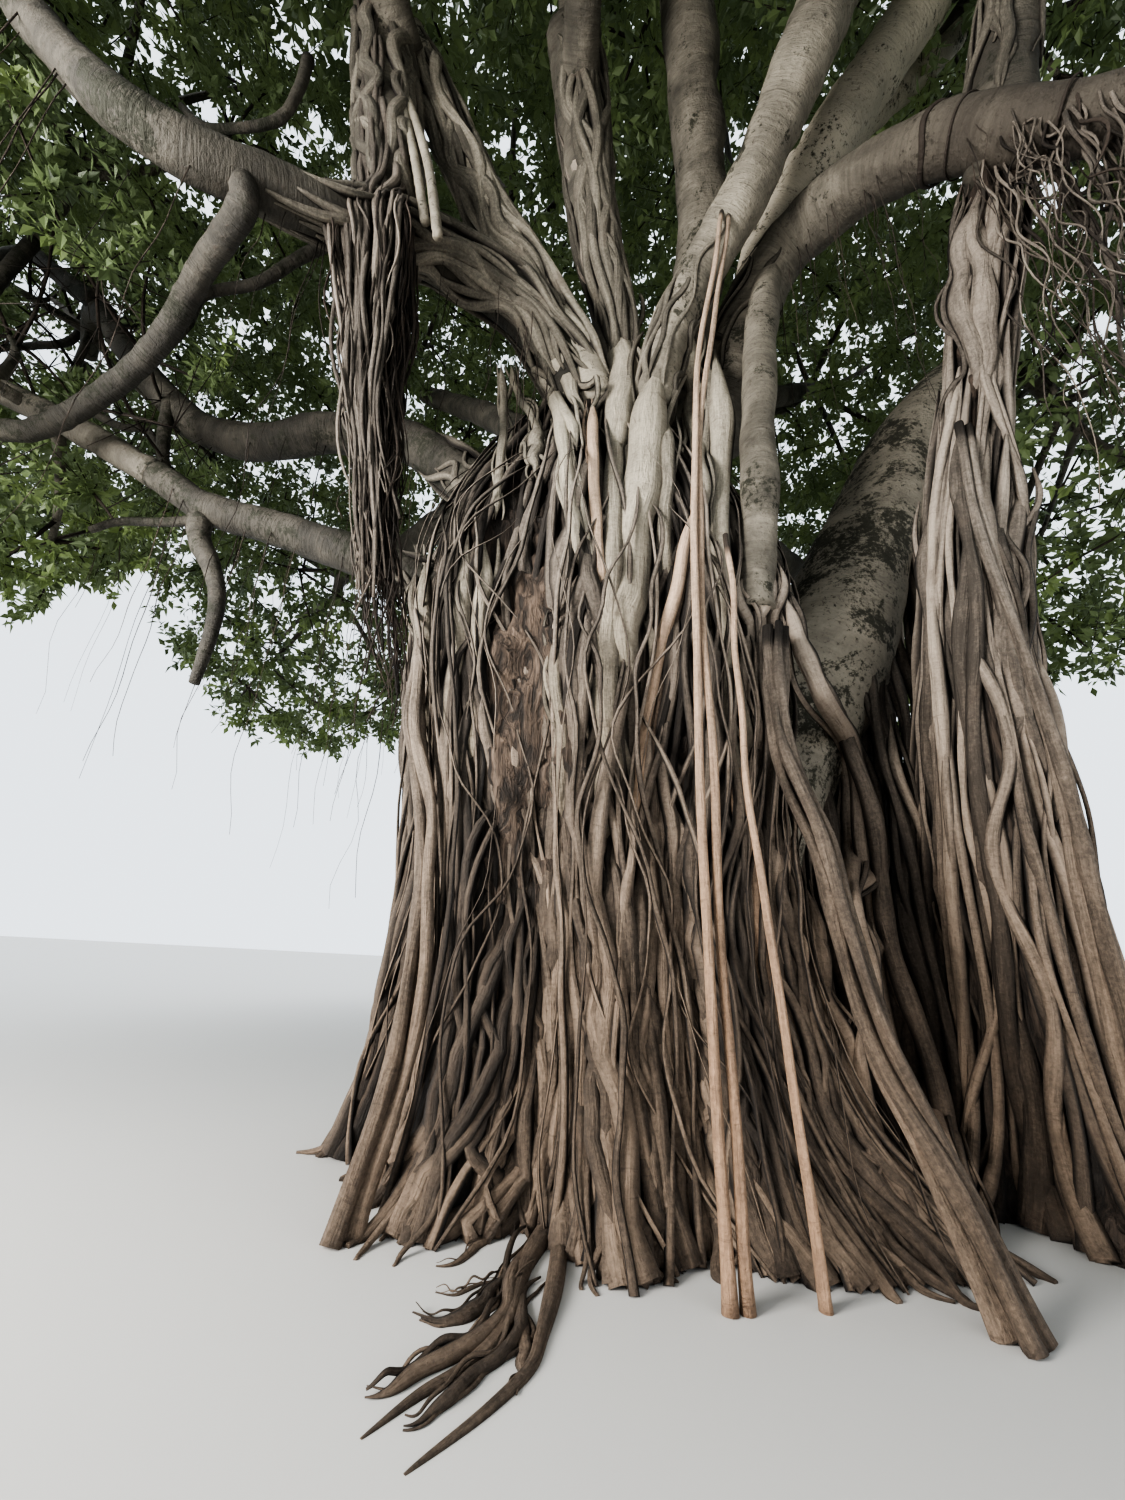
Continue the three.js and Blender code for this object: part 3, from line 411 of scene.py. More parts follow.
FOOT_ROOTS = {
    "ground_long": (18, 16, 0.1, ((533, 1248), (518, 1279), (510, 1304), (498, 1342), (462, 1373),
        (424, 1393), (385, 1421), (360, 1439))),
    "ground_short": (16, 14, 0.1, ((538, 1294), (526, 1304), (521, 1330), (518, 1355), (503, 1375),
        (482, 1393), (449, 1424), (416, 1457), (398, 1470))),
    "ground_straight": (12, 12, 0.2, ((523, 1312), (523, 1342), (523, 1380), (515, 1431))),
    "ground_melted": (16, 12, 0.1, ((513, 1278), (498, 1299), (480, 1322), (462, 1337), (436, 1345),
        (419, 1342))),
    "ground_fine": (8, 7, 0.2, ((503, 1289), (482, 1312), (457, 1330), (434, 1340), (411, 1330))),
    "ground_upper": (9, 7, 0.2, ((518, 1235), (493, 1245), (470, 1263), (449, 1279), (434, 1281))),
    "ground_top": (8, 7, 0.2, ((513, 1215), (493, 1217), (470, 1222), (455, 1230))),
    "ground_middle": (7, 6, 0.2, ((500, 1294), (472, 1302), (452, 1312), (434, 1309))),
    "fan_first": (12, 9, 0.2, ((411, 1128), (398, 1159), (386, 1184), (370, 1220))),
    "fan_second": (10, 8, 0.2, ((416, 1131), (411, 1164), (398, 1189), (383, 1220))),
    "fan_third": (9, 7, 0.2, ((429, 1128), (421, 1169), (411, 1202), (403, 1228))),
    "fan_fourth": (10, 8, 0.2, ((434, 1138), (429, 1177), (421, 1202), (419, 1225))),
    "fan_wide": (14, 12, 0.2, ((406, 1138), (383, 1159), (370, 1174), (360, 1195))),
    "fan_last": (16, 12, 0.2, ((437, 1120), (439, 1146), (431, 1177), (429, 1202), (424, 1216))),
}

# Model Y of the two cut stubs that hang before the left bough, and how pale they are, from 0 to 1
STUB_DEPTH = -2.15
STUB_TONE = 0.5

# Twigs and forks of the left boughs that the photo shows, and the two stubs: end radii, model Y and the
# pixels passed through
LEFT_LIMBS = {
    "mid_end": (0.15, 0.1, 0.3, ((97, 303), (70, 284), (53, 271), (29, 254), (-30, 262))),
    "mid_fork_twig": (0.06, 0.04, 0.4, ((88, 410), (123, 427), (147, 430), (161, 456), (170, 488))),
    "mid_drop": (0.09, 0.07, 0.1, ((170, 400), (164, 435), (164, 465), (176, 490), (190, 507))),
    "low_end": (0.12, 0.05, -0.8, ((200, 520), (200, 543), (211, 566), (217, 593), (214, 622), (205, 651),
        (194, 683))),
    "low_twig": (0.06, 0.04, -0.5, ((196, 520), (176, 522), (147, 522), (117, 522), (90, 530))),
    "behind": (0.085, 0.05, -0.9, ((330, 242), (293, 262), (258, 283), (205, 295), (188, 324), (170, 345))),
    "above": (0.07, 0.04, -2.2, ((308, 60), (299, 89), (279, 119), (249, 127), (205, 127), (182, 107))),
    "edge": (0.07, 0.05, 1.0, ((88, 318), (70, 341), (30, 346), (-30, 350))),
    "stub_long": (0.05, 0.055, STUB_DEPTH, ((398, 80), (415, 120), (428, 165), (438, 236))),
    "stub_short": (0.045, 0.05, STUB_DEPTH, ((390, 66), (404, 110), (415, 160), (425, 222))),
}

# Places on the trunk: the pixel in their middle, and their half sizes in radians round it and metres up it
BARE_PLACES = (((535, 740), 0.17, 1.5),)
# In the dark places the strands are darkened with painted shade, for the deep shadow there
DARK_PLACES = (((490, 950), 0.2, 1.2), ((455, 640), 0.12, 0.9), ((720, 960), 0.1, 1.2))

# Where a fork that starts beside its parent is led into it
FORK_JOINS = {"left_fork": (-3.7, -2.7, 8.1)}

# How pale each bough is, from 0 to 1: partly the bark's own tone and partly painted light, as right_up and
# right_fork are made paler where other boughs shade them
BOUGH_TONES = {
    "left_high": 0.12, "left_mid": 0.1, "left_low": 0.1, "left_fork": 0.08, "left_column": 0.2,
    "left_upper": 0.6, "centre_wrapped": 0.15, "centre_smooth": 0.2, "right_y": 0.38, "right_up": 0.8,
    "right_fork": 0.75, "right_wrapped": 0.1, "right_low": 0.26, "right_back": 0.6, "front": 0.15,
}
OTHER_BOUGH_TONE = 0.12

# The barks of the boughs and their strands, and the boughs that have another than the pale limb's. One of
# these barks is the pale limb's bark made darker: painted shade for boughs that lie in shade
BOUGH_BARKS = ("limb", "young", "mossy", "shaded")
BARK_OF_BOUGH = {"right_back": "mossy", "left_high": "shaded", "left_mid": "shaded", "left_low": "shaded",
                 "left_fork": "shaded"}

# How much painted shade darkens the outer part of a bough, from 0 to 1
OUTER_SHADE = {"right_low": 0.65}

# Cracks round a bough: the pixel across that each stands at, and its half width in metres
CRACKS = {"right_low": ((934, 0.03), (964, 0.012), (1063, 0.014))}

# Limbs that the photo shows free of leaves: the shares of their length, and how near in pixels no spray of
# leaves hangs before them
CLEAR_LIMBS = {"left_mid": (0.2, 1.0), "left_low": (0.0, 0.55), "left_fork": (0.0, 0.8),
               "left_high": (0.0, 1.0)}
CLEAR_PIXELS = 26

# Strands that wind along a limb: the shares of its length that they cover, how many, their least and
# greatest radius, the turn in radians for each metre, and how dark they are with painted shade
WRAPS = {
    "left_column": (0.0, 1.0, 34, (0.03, 0.085), 0.35, 0.1),
    "left_upper": (0.0, 1.0, 30, (0.03, 0.085), 0.3, 0.0),
    "left_high": (0.0, 0.5, 34, (0.025, 0.075), 0.3, 0.05),
    "centre_wrapped": (0.0, 1.0, 34, (0.02, 0.07), 0.4, 0.15),
    "right_wrapped": (0.0, 0.7, 18, (0.02, 0.07), 0.3, 0.1),
    "right_y": (0.0, 0.45, 12, (0.02, 0.05), 0.2, 0.0),
    "right_low": (0.0, 0.3, 14, (0.02, 0.05), 0.3, 0.3),
    "left_mid": (0.0, 0.25, 14, (0.02, 0.06), 0.3, 0.2),
    "left_low": (0.0, 0.3, 10, (0.02, 0.05), 0.3, 0.2),
    "top_left": (0.0, 0.35, 12, (0.03, 0.07), 0.3, 0.2),
    "top_right": (0.0, 0.35, 12, (0.03, 0.07), 0.3, 0.2),
    "back_left": (0.0, 0.5, 16, (0.03, 0.08), 0.3, 0.2),
    "back": (0.0, 0.5, 16, (0.03, 0.08), 0.3, 0.2),
    "back_right": (0.0, 0.5, 16, (0.03, 0.08), 0.3, 0.2),
}


class BanyanSettings(bpy.types.PropertyGroup):
    """Sizes and colours of the dressed banyan"""

    seed: IntProperty(name="Seed", description="Start of every random draw", default=11, min=1)
    bark_relief: FloatProperty(
        name="Bark relief", description="Depth of the lumps on the bark", default=0.02, unit="LENGTH")
    core_depth: FloatProperty(
        name="Core depth", description="How far the trunk's core lies behind its roots", default=0.2,
        unit="LENGTH")
    leaf_length: FloatProperty(
        name="Leaf length", description="Length of one leaf", default=0.205, unit="LENGTH")
    sprays: IntProperty(name="Sprays", description="Sprays of leaves in each mass", default=1000, min=1)
    leaves: IntProperty(name="Leaves", description="Leaves on each spray", default=15, min=1)
    trunk_strands: IntProperty(
        name="Trunk strands", description="Main roots fused round the trunk", default=64, min=1)
    pale_bark: FloatVectorProperty(
        name="Pale bark", description="Colour of boughs and young roots", subtype="COLOR", size=3,
        default=(0.43, 0.385, 0.31))
    grey_bark: FloatVectorProperty(
        name="Grey bark", description="Colour of the old fused roots", subtype="COLOR", size=3,
        default=(0.37, 0.315, 0.262))
    tan_bark: FloatVectorProperty(
        name="Tan bark", description="Colour of the prop roots", subtype="COLOR", size=3,
        default=(0.5, 0.375, 0.28))
    # The brown bark is the hanging roots' colour, and also the colour of the painted shade in hollows
    brown_bark: FloatVectorProperty(
        name="Brown bark", description="Colour of hanging roots and hollows", subtype="COLOR", size=3,
        default=(0.07, 0.054, 0.043))
    floor_size: FloatProperty(
        name="Floor size", description="Side of the floor", default=400.0, unit="LENGTH")


def settings():
    """The values that the panel shows."""
    return bpy.context.scene.banyan


def put(name, data):
    """A new object in the scene."""
    thing = bpy.data.objects.new(name, data)
    bpy.context.scene.collection.objects.link(thing)
    return thing


# Curves, random numbers and relief


def smoothstep(value, low, high):
    """0 below low, 1 above high and a smooth rise between."""
    share = np.clip((value - low) / (high - low), 0, 1)
    return share * share * (3 - 2 * share)


def mix(first, last, share):
    """A value that lies at a share of the way from the first to the last."""
    return first + (last - first) * share


def unit(vectors):
    """Vectors made one metre long."""
    return vectors / np.maximum(np.linalg.norm(vectors, axis=-1, keepdims=True), 1e-9)


def chance(seed, i, j=0):
    """A repeatable number from 0 to 1 for a seed and two counters: the fraction of a large sine wave."""
    wave = np.sin(seed * 12.9898 + np.asarray(i, float) * 78.233 + j * 37.719) * 43758.5453
    return wave - np.floor(wave)


def curve_through(path, count):
    """Points evenly spaced along the centripetal Catmull-Rom curve through a path, its ends reflected."""
    path = np.asarray(path, float)
    knots = np.vstack([2 * path[0] - path[1], path, 2 * path[-1] - path[-2]])
    share = np.linspace(0, 1, 24, endpoint=False)[:, None]
    pieces = []
    for before, start, stop, after in zip(knots, knots[1:], knots[2:], knots[3:]):
        pair = ((before, start), (start, stop), (stop, after))
        first, middle, last = (math.sqrt(np.linalg.norm(b - a)) for a, b in pair)
        leaving = (start - before) / first - (stop - before) / (first + middle) + (stop - start) / middle
        arriving = (stop - start) / middle - (after - start) / (middle + last) + (after - stop) / last
        leaving = leaving * middle
        arriving = arriving * middle
        square = 3 * (stop - start) - 2 * leaving - arriving
        cube = 2 * (start - stop) + leaving + arriving
        pieces.append(start + leaving * share + square * share**2 + cube * share**3)
    dense = np.vstack([*pieces, path[-1:]])
    return spaced_evenly(dense, count)


def spaced_evenly(dense, count):
    """The same polyline with its points the same length apart."""
    steps = np.linalg.norm(np.diff(dense, axis=0), axis=1)
    along = np.concatenate([[0], np.cumsum(steps)])
    places = np.linspace(0, along[-1], count)
    return np.stack([np.interp(places, along, axis) for axis in dense.T], axis=1)


def looked_up(share, rows):
    """Rows of values at shares of their length, from 0 to 1, with the values along the last axis."""
    places = np.linspace(0, 1, len(rows))
    return np.stack([np.interp(share, places, axis) for axis in rows.T], axis=-1)


def ripple(rng, shape, waves=5, low=0.6, high=5.0):
    """Smooth random rows from about -1 to 1: a sum of sine waves with random lengths and starts.
    shape is (rows, points); low and high are the waves' counts over a row, or one for each row."""
    rows, points = shape
    share = np.linspace(0, 1, points)
    low = np.broadcast_to(low, rows)[:, None, None]
    high = np.broadcast_to(high, rows)[:, None, None]
    count = low + (high - low) * rng.uniform(0, 1, (rows, waves, 1))
    start = rng.uniform(0, 2 * math.pi, (rows, waves, 1))
    return np.sin(2 * math.pi * count * share + start).sum(axis=1) / math.sqrt(waves)


def swaying(rng, shape, low, high, axes=2):
    """A ripple of four waves for each of two or three axes, along the last axis."""
    return np.stack([ripple(rng, shape, 4, low, high) for _ in range(axes)], axis=-1)


def lengths_of(paths):
    """The length of each path, of shape (paths, points, 3)."""
    return np.linalg.norm(np.diff(paths, axis=1), axis=2).sum(axis=1)


def relief(points, size, seed, waves=9):
    """Lumps from about -1 to 1 at points in space: a sum of sine waves in random directions."""
    rng = np.random.default_rng(seed)
    direction = unit(rng.normal(size=(waves, 3))) * rng.uniform(0.7, 1.6, (waves, 1)) * 2 * math.pi / size
    start = rng.uniform(0, 2 * math.pi, waves)
    return np.sin(points @ direction.T + start).sum(axis=-1) / math.sqrt(waves)


# The trunk's and the column's outlines


def outline_factor(flutes, deeper, fade, angle, height):
    """How far the ridges stand from a plain outline: cosines round it that deepen towards the ground."""
    foot = np.exp(-np.maximum(height, 0) / fade)
    ridges = sum(depth * np.cos(count * angle + phase + height / 3) for count, depth, phase in flutes)
    return 1 + ridges * (1 + deeper * foot)


def flare_at(flare, angle, height):
    """What the root flare adds: more towards its own angle, and less with height."""
    facing = np.maximum(0, np.cos(angle - flare["angle"])) ** 4
    return (flare["all_round"] + flare["front"] * facing) * np.exp(-np.maximum(height, 0) / flare["fade"])


def trunk_sizes(angle, height):
    """The trunk's half width and half depth at an angle and a height."""
    swell = TRUNK_SWELL * smoothstep(height, 2, 5)
    taper = FORK_TAPER * smoothstep(height, FORK_START, TRUNK_HEIGHT)
    added = swell - taper + flare_at(TRUNK_FLARE, angle, height)
    ridges = outline_factor(TRUNK_FLUTES, TRUNK_FLUTE_FLARE, TRUNK_FLARE["fade"], angle, height)
    return (TRUNK_HALF_WIDTH + added) * ridges, (TRUNK_HALF_DEPTH + added) * ridges


def trunk_point(angle, height, proud=0.0):
    """The trunk's surface: an ellipse at each height, with ridges and a flare, proud metres further out."""
    wide, deep = trunk_sizes(angle, height)
    lean = TRUNK_LEAN * smoothstep(height, 0, TRUNK_HEIGHT)
    x = (wide + proud) * np.cos(angle) + lean
    y = (deep + proud) * np.sin(angle)
    return np.stack(np.broadcast_arrays(x, y, height), axis=-1)


def trunk_angle(points):
    """The angle round the trunk of points near it: two rounds, as the flare depends on the angle."""
    x = points[..., 0] - TRUNK_LEAN * smoothstep(points[..., 2], 0, TRUNK_HEIGHT)
    angle = np.arctan2(points[..., 1], x)
    for _ in range(2):
        wide, deep = trunk_sizes(angle, points[..., 2])
        angle = np.arctan2(points[..., 1] / deep, x / wide)
    return angle


def column_point(angle, share, proud=0.0):
    """The column's surface: a fluted circle carried up its path, proud metres further out."""
    middle = looked_up(share, curve_through(COLUMN_PATH, 80))
    height = middle[..., 2]
    plain = mix(COLUMN_RADIUS, COLUMN_TOP_RADIUS, smoothstep(height, 0, 8))
    ridges = outline_factor(COLUMN_FLUTES, COLUMN_FLUTE_FLARE, COLUMN_FLARE["fade"], angle, height)
    radius = (plain + flare_at(COLUMN_FLARE, angle, height)) * ridges + proud
    around = np.stack(np.broadcast_arrays(np.cos(angle), np.sin(angle), 0 * height), axis=-1)
    return middle + radius[..., None] * around


# From the photo's pixels to the tree


def camera_axes():
    """The camera's right, up and forward: level along +Y, then pitched up, then rolled."""
    forward = np.array([0.0, math.cos(CAMERA_PITCH), math.sin(CAMERA_PITCH)])
    level = np.array([1.0, 0.0, 0.0])
    upright = np.cross(level, forward)
    right = math.cos(CAMERA_ROLL) * level + math.sin(CAMERA_ROLL) * upright
    up = math.cos(CAMERA_ROLL) * upright - math.sin(CAMERA_ROLL) * level
    return right, up, forward


def sight_lines(pixels):
    """Lines from the camera through pixels, each one metre long along the camera's view."""
    right, up, forward = camera_axes()
    across = (pixels[:, 0] - PHOTO_WIDTH / 2) / PHOTO_FOCAL
    above = (PHOTO_HEIGHT / 2 - pixels[:, 1]) / PHOTO_FOCAL
    return forward + across[:, None] * right + above[:, None] * up


def seen_at(points):
    """The pixels of points, and how far along the camera's view they lie."""
    right, up, forward = camera_axes()
    away = points - CAMERA_AT
    reach = away @ forward
    ahead = np.maximum(reach, 0.1)
    x = PHOTO_WIDTH / 2 + PHOTO_FOCAL * (away @ right) / ahead
    y = PHOTO_HEIGHT / 2 - PHOTO_FOCAL * (away @ up) / ahead
    return np.stack([x, y], axis=-1), reach


def at_depth(pixels, depth):
    """The points that lie behind pixels at a model Y."""
    lines = sight_lines(np.array(pixels, float))
    return CAMERA_AT + lines * ((depth - CAMERA_AT[1]) / lines[:, 1])[:, None]


def front_balls():
    """Balls strung along the limbs and the column that show from the front: middles and radii."""
    middles = []
    radii = []
    limbs = [spec for name, spec in BOUGHS.items() if name not in BACK_BOUGHS]
    limbs.append((COLUMN_TOP_RADIUS, COLUMN_RADIUS, COLUMN_PATH[::-1]))
    limbs.append(FREE_ROOTS["stem_right"][1:])
    for start, stop, path in limbs:
        middles.append(curve_through(path, 34))
        radii.append(np.linspace(start, stop, 34))
    return np.vstack(middles), np.concatenate(radii)


def tree_gap(points, balls):
    """Rough distance from points to the trunk, the front limbs and the ground, in metres."""
    middles, radii = balls
    height = np.clip(points[:, 2], 0, TRUNK_HEIGHT)
    wide, deep = trunk_sizes(trunk_angle(points), height)
    x = (points[:, 0] - TRUNK_LEAN * smoothstep(height, 0, TRUNK_HEIGHT)) / wide
    trunk = (np.hypot(x, points[:, 1] / deep) - 1) * np.minimum(wide, deep)
    trunk = np.maximum(trunk, points[:, 2] - TRUNK_HEIGHT)
    limbs = (np.linalg.norm(points[:, None] - middles, axis=2) - radii).min(axis=1)
    return np.minimum(np.minimum(trunk, limbs), points[:, 2])


def first_touch(pixels, balls):
    """How far along each sight line the tree begins: steps of the distance that is left, kept at the
    nearest approach where a line passes close by."""
    close = 0.4
    lines = sight_lines(pixels)
    length = np.linalg.norm(lines, axis=1)
    reach = np.full(len(lines), 1.2)
    best = reach.copy()
    nearest = np.full(len(lines), np.inf)
    moving = np.ones(len(lines), bool)
    for _ in range(60):
        gap = tree_gap(CAMERA_AT + lines * reach[:, None], balls)
        moving &= ~((gap > nearest + 0.02) & (nearest < close))
        nearer = moving & (gap < nearest)
        best[nearer] = reach[nearer]
        nearest[nearer] = gap[nearer]
        reach = reach + np.where(moving, np.maximum(gap, 0.004) * 0.75 / length, 0)
    return best, lines


def evened(values, width):
    """Rows with each value averaged over its neighbours along the row, the ends held."""
    kernel = np.hanning(width + 2)[1:-1]
    kernel = kernel / kernel.sum()
    half = width // 2
    padded = np.pad(values, ((0, 0), (half, half)), mode="edge")
    return np.stack([np.convolve(row, kernel, mode="valid") for row in padded])


# Tubes and grids put into meshes


class Surfaces:
    """Grids of points gathered into one mesh, with UVs in metres and a tint and a hollow for each point. The
    barks turn the hollow into painted shade, and on the cracks round a bough into the cracks' own dark.
    """

    def __init__(self):
        self.points = []
        self.tints = []
        self.hollows = []
        self.loops = []
        self.counts = []
        self.uvs = []
        self.finishes = []
        self.total = 0

    def add_faces(self, faces, uvs, finish):
        self.loops.append(faces.ravel())
        self.counts.append(np.full(len(faces), faces.shape[1], np.int32))
        self.uvs.append(uvs.reshape(-1, 2))
        self.finishes.append(np.broadcast_to(np.asarray(finish, np.int32), len(faces)))

    def add_points(self, points, tint, hollow):
        points = points.reshape(-1, 3)
        points[:, 2] = np.maximum(points[:, 2], 0)
        self.points.append(points)
        self.tints.append(np.broadcast_to(tint, len(points)))
        self.hollows.append(np.broadcast_to(hollow, len(points)))
        self.total += len(points)

    def add_tubes(self, rings, tint=0.5, hollow=0.0, finish=0, offset=0.0):
        """Tubes from rings of shape (tubes, rings, sides, 3), each closed at both ends."""
        tubes, steps, sides, _ = rings.shape
        start = self.total
        tint = np.repeat(np.broadcast_to(tint, tubes), steps * sides)
        self.add_points(rings.copy(), tint, np.broadcast_to(hollow, (tubes, steps, sides)).ravel())
        index = start + np.arange(tubes * steps * sides).reshape(tubes, steps, sides)
        turned = np.roll(index, -1, axis=2)
        faces = np.stack([index[:, :-1], turned[:, :-1], turned[:, 1:], index[:, 1:]], axis=-1)
        side_width = np.linalg.norm(np.diff(rings, axis=2), axis=3).mean(axis=(1, 2))
        along = np.linalg.norm(np.diff(rings.mean(axis=2), axis=1), axis=2)
        along = np.concatenate([np.zeros((tubes, 1)), np.cumsum(along, axis=1)], axis=1)
        along = along + np.broadcast_to(offset, tubes)[:, None]
        around = np.arange(sides + 1) * side_width[:, None]
        grid = np.stack(np.broadcast_arrays(around[:, None], along[..., None]), axis=-1)
        corners = [grid[:, :-1, :-1], grid[:, :-1, 1:], grid[:, 1:, 1:], grid[:, 1:, :-1]]
        uvs = np.stack(corners, axis=3)
        finish = np.broadcast_to(finish, tubes)
        self.add_faces(faces.reshape(-1, 4), uvs, np.repeat(finish, (steps - 1) * sides))
        caps = np.concatenate([index[:, 0, ::-1], index[:, -1]])
        cap_v = np.concatenate([along[:, 0], along[:, -1]])
        cap_uvs = np.stack(np.broadcast_arrays(np.zeros((1, sides)), cap_v[:, None]), axis=-1)
        self.add_faces(caps, cap_uvs, np.tile(finish, 2))

    def build(self, name, materials, replaced=(), smooth=True):
        """Puts everything gathered into a new object that rides on the frame."""
        mesh = bpy.data.meshes.new(name)
        points = np.concatenate(self.points)
        loops = np.concatenate(self.loops)
        counts = np.concatenate(self.counts)
        mesh.vertices.add(len(points))
        mesh.vertices.foreach_set("co", points.astype(np.float32).ravel())
        mesh.loops.add(len(loops))
        mesh.loops.foreach_set("vertex_index", loops.astype(np.int32))
        mesh.polygons.add(len(counts))
        mesh.polygons.foreach_set("loop_start", (np.cumsum(counts) - counts).astype(np.int32))
        mesh.polygons.foreach_set("material_index", np.concatenate(self.finishes).astype(np.int32))
        mesh.polygons.foreach_set("use_smooth", np.full(len(counts), smooth))
        layer = mesh.uv_layers.new(name="UVMap")
        layer.uv.foreach_set("vector", np.concatenate(self.uvs).astype(np.float32).ravel())
        for title, values in (("tint", self.tints), ("hollow", self.hollows)):
            attribute = mesh.attributes.new(title, "FLOAT", "POINT")
            attribute.data.foreach_set("value", np.concatenate(values).astype(np.float32))
        mesh.update(calc_edges=True)
        mesh.validate()
        for material in materials:
            mesh.materials.append(material)
        piece = put(name, mesh)
        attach(piece, "root")
        if replaced:
            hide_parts(*replaced)


def swept(paths, outward, wide, thick, sides):
    """Rings of shape (tubes, rings, sides, 3): ellipses across each path, wide across the surface and thick
    along outward, whose seam faces inward. Sizes may differ by tube, ring and side."""
    along = unit(np.gradient(paths, axis=1))
    across = unit(np.cross(outward, along))
    out = np.cross(along, across)
    angle = np.arange(sides) * 2 * math.pi / sides
    wide = np.broadcast_to(wide, (*paths.shape[:2], sides))[..., None]
    thick = np.broadcast_to(thick, (*paths.shape[:2], sides))[..., None]
    sideways = across[:, :, None] * np.sin(angle)[:, None] * wide
    outwards = out[:, :, None] * -np.cos(angle)[:, None] * thick
    return paths[:, :, None] + sideways + outwards


def knotted(rng, paths, sides, ridge, lump):
    """Factors for a root's radius, of shape (tubes, rings, sides): ridges that wind slowly round it, and
    swellings along it that are from 0.6 metres to two metres long."""
    shape = paths.shape[:2]
    length = lengths_of(paths)
    angle = np.arange(sides) * 2 * math.pi / sides
    winding = ripple(rng, shape, 3, 0.1 * length, 0.4 * length)[..., None] * 1.5
    start = rng.uniform(0, 2 * math.pi, (shape[0], 1, 1))
    ridges = np.cos(2 * angle + start + winding) + 0.7 * np.cos(3 * angle - start + 2 * winding)
    return 1 + ridge * ridges + lump * ripple(rng, shape, 6, 0.5 * length, 1.6 * length)[..., None]


def shade_round(sides, base=0.0, share=1.0):
    """How dark the painted shade lies round a root's section: a base, and more towards what the root lies
    on, in the crease where shade falls.
    """
    angle = np.arange(sides) * 2 * math.pi / sides
    return np.clip(base + share * DEEPEST_SHADE * smoothstep(np.cos(angle), -0.9, 0.4), 0, 1)


def tapered(length, steps, reach):
    """From 0 at a path's ends to 1 from reach metres on, for paths of the given lengths."""
    share = np.linspace(0, 1, steps)
    ends = np.minimum(share, 1 - share) * np.asarray(length)[..., None]
    return np.sqrt(smoothstep(ends, 0, reach))


def add_roots(gathered, rng, paths, outward, radius, sides, tones, shading, finish=0, knots=(0.08, 0.12),
              wide=1.0, thick=1.0):
    """Knotted roots along paths, each with a tint of its own between two tones, darkened by the painted
    shade given for each point. Knots are the size of the ridges and the swellings; wide and thick stretch
    the section across and along outward."""
    tubes = len(paths)
    factors = knotted(rng, paths, sides, *knots) * radius[..., None]
    rings = swept(paths, outward, factors * wide, factors * thick, sides)
    tints = rng.uniform(*tones, tubes)
    gathered.add_tubes(rings, tints, shading, finish, rng.uniform(0, BARK_SHIFT, tubes))


# Materials


class Wire:
    """A node's output that Python arithmetic can use: each operation adds a Math node."""

    def __init__(self, shade, socket):
        self.shade = shade
        self.socket = socket

    def math(self, operation, *values):
        inputs = dict(enumerate(values))
        return self.shade.node("ShaderNodeMath", {"operation": operation}, inputs)

    def __add__(self, other):
        return self.math("ADD", self, other)

    def __radd__(self, other):
        return self.math("ADD", other, self)

    def __sub__(self, other):
        return self.math("SUBTRACT", self, other)

    def __rsub__(self, other):
        return self.math("SUBTRACT", other, self)

    def __mul__(self, other):
        return self.math("MULTIPLY", self, other)

    def __rmul__(self, other):
        return self.math("MULTIPLY", other, self)


class Shade:
    """The nodes of one material."""

    def __init__(self, name):
        self.material = bpy.data.materials.new(name)
        self.material.use_nodes = True
        self.tree = self.material.node_tree
        self.tree.nodes.clear()

    def node(self, kind, options=None, inputs=None, output=0):
        """A new node: its settings first, a ramp's stops among them, then its sockets' values or links."""
        made = self.tree.nodes.new(kind)
        for key, value in (options or {}).items():
            if key == "stops":
                self.set_stops(made.color_ramp, value)
            else:
                setattr(made, key, value)
        for key, value in (inputs or {}).items():
            if isinstance(value, Wire):
                self.tree.links.new(value.socket, made.inputs[key])
            else:
                made.inputs[key].default_value = value
        return Wire(self, made.outputs[output])

    def set_stops(self, ramp, stops):
        for _ in stops[2:]:
            ramp.elements.new(0.5)
        for element, (place, colour) in zip(ramp.elements, stops):
            element.position = place
            element.color = colour

    def noise(self, vector, scale, detail=4.0, rough=0.55, distortion=0.0):
        inputs = {"Vector": vector, "Scale": scale, "Detail": detail, "Roughness": rough,
                  "Distortion": distortion}
        return self.node("ShaderNodeTexNoise", {}, inputs)

    def stretched(self, vector, scale):
        return self.node("ShaderNodeMapping", {}, {"Vector": vector, "Scale": scale})

    def band(self, value, low, high):
        """0 below low, 1 above high and smooth between."""
        inputs = {"Value": value, "From Min": low, "From Max": high}
        return self.node("ShaderNodeMapRange", {"interpolation_type": "SMOOTHSTEP"}, inputs)

    def blend(self, share, first, last):
        """A colour between two."""
        options = {"data_type": "RGBA"}
        return self.node("ShaderNodeMix", options, {0: share, 6: first, 7: last}, 2)

    def attribute(self, name):
        return self.node("ShaderNodeAttribute", {"attribute_name": name}, {}, 2)

    def finish(self, colour, roughness, height=None, depth=0.06, others=None):
        """The surface shader, with a bump of the given depth in metres where there is a height."""
        inputs = {"Base Color": colour, "Roughness": roughness, **(others or {})}
        if height is not None:
            inputs["Normal"] = self.node(
                "ShaderNodeBump", {}, {"Height": height, "Distance": depth, "Strength": 1.0})
        surface = self.node("ShaderNodeBsdfPrincipled", {}, inputs)
        output = self.tree.nodes.new("ShaderNodeOutputMaterial")
        self.tree.links.new(surface.socket, output.inputs["Surface"])
        return self.material


def rgba(colour, factor=1.0):
    return (*[channel * factor for channel in colour], 1.0)


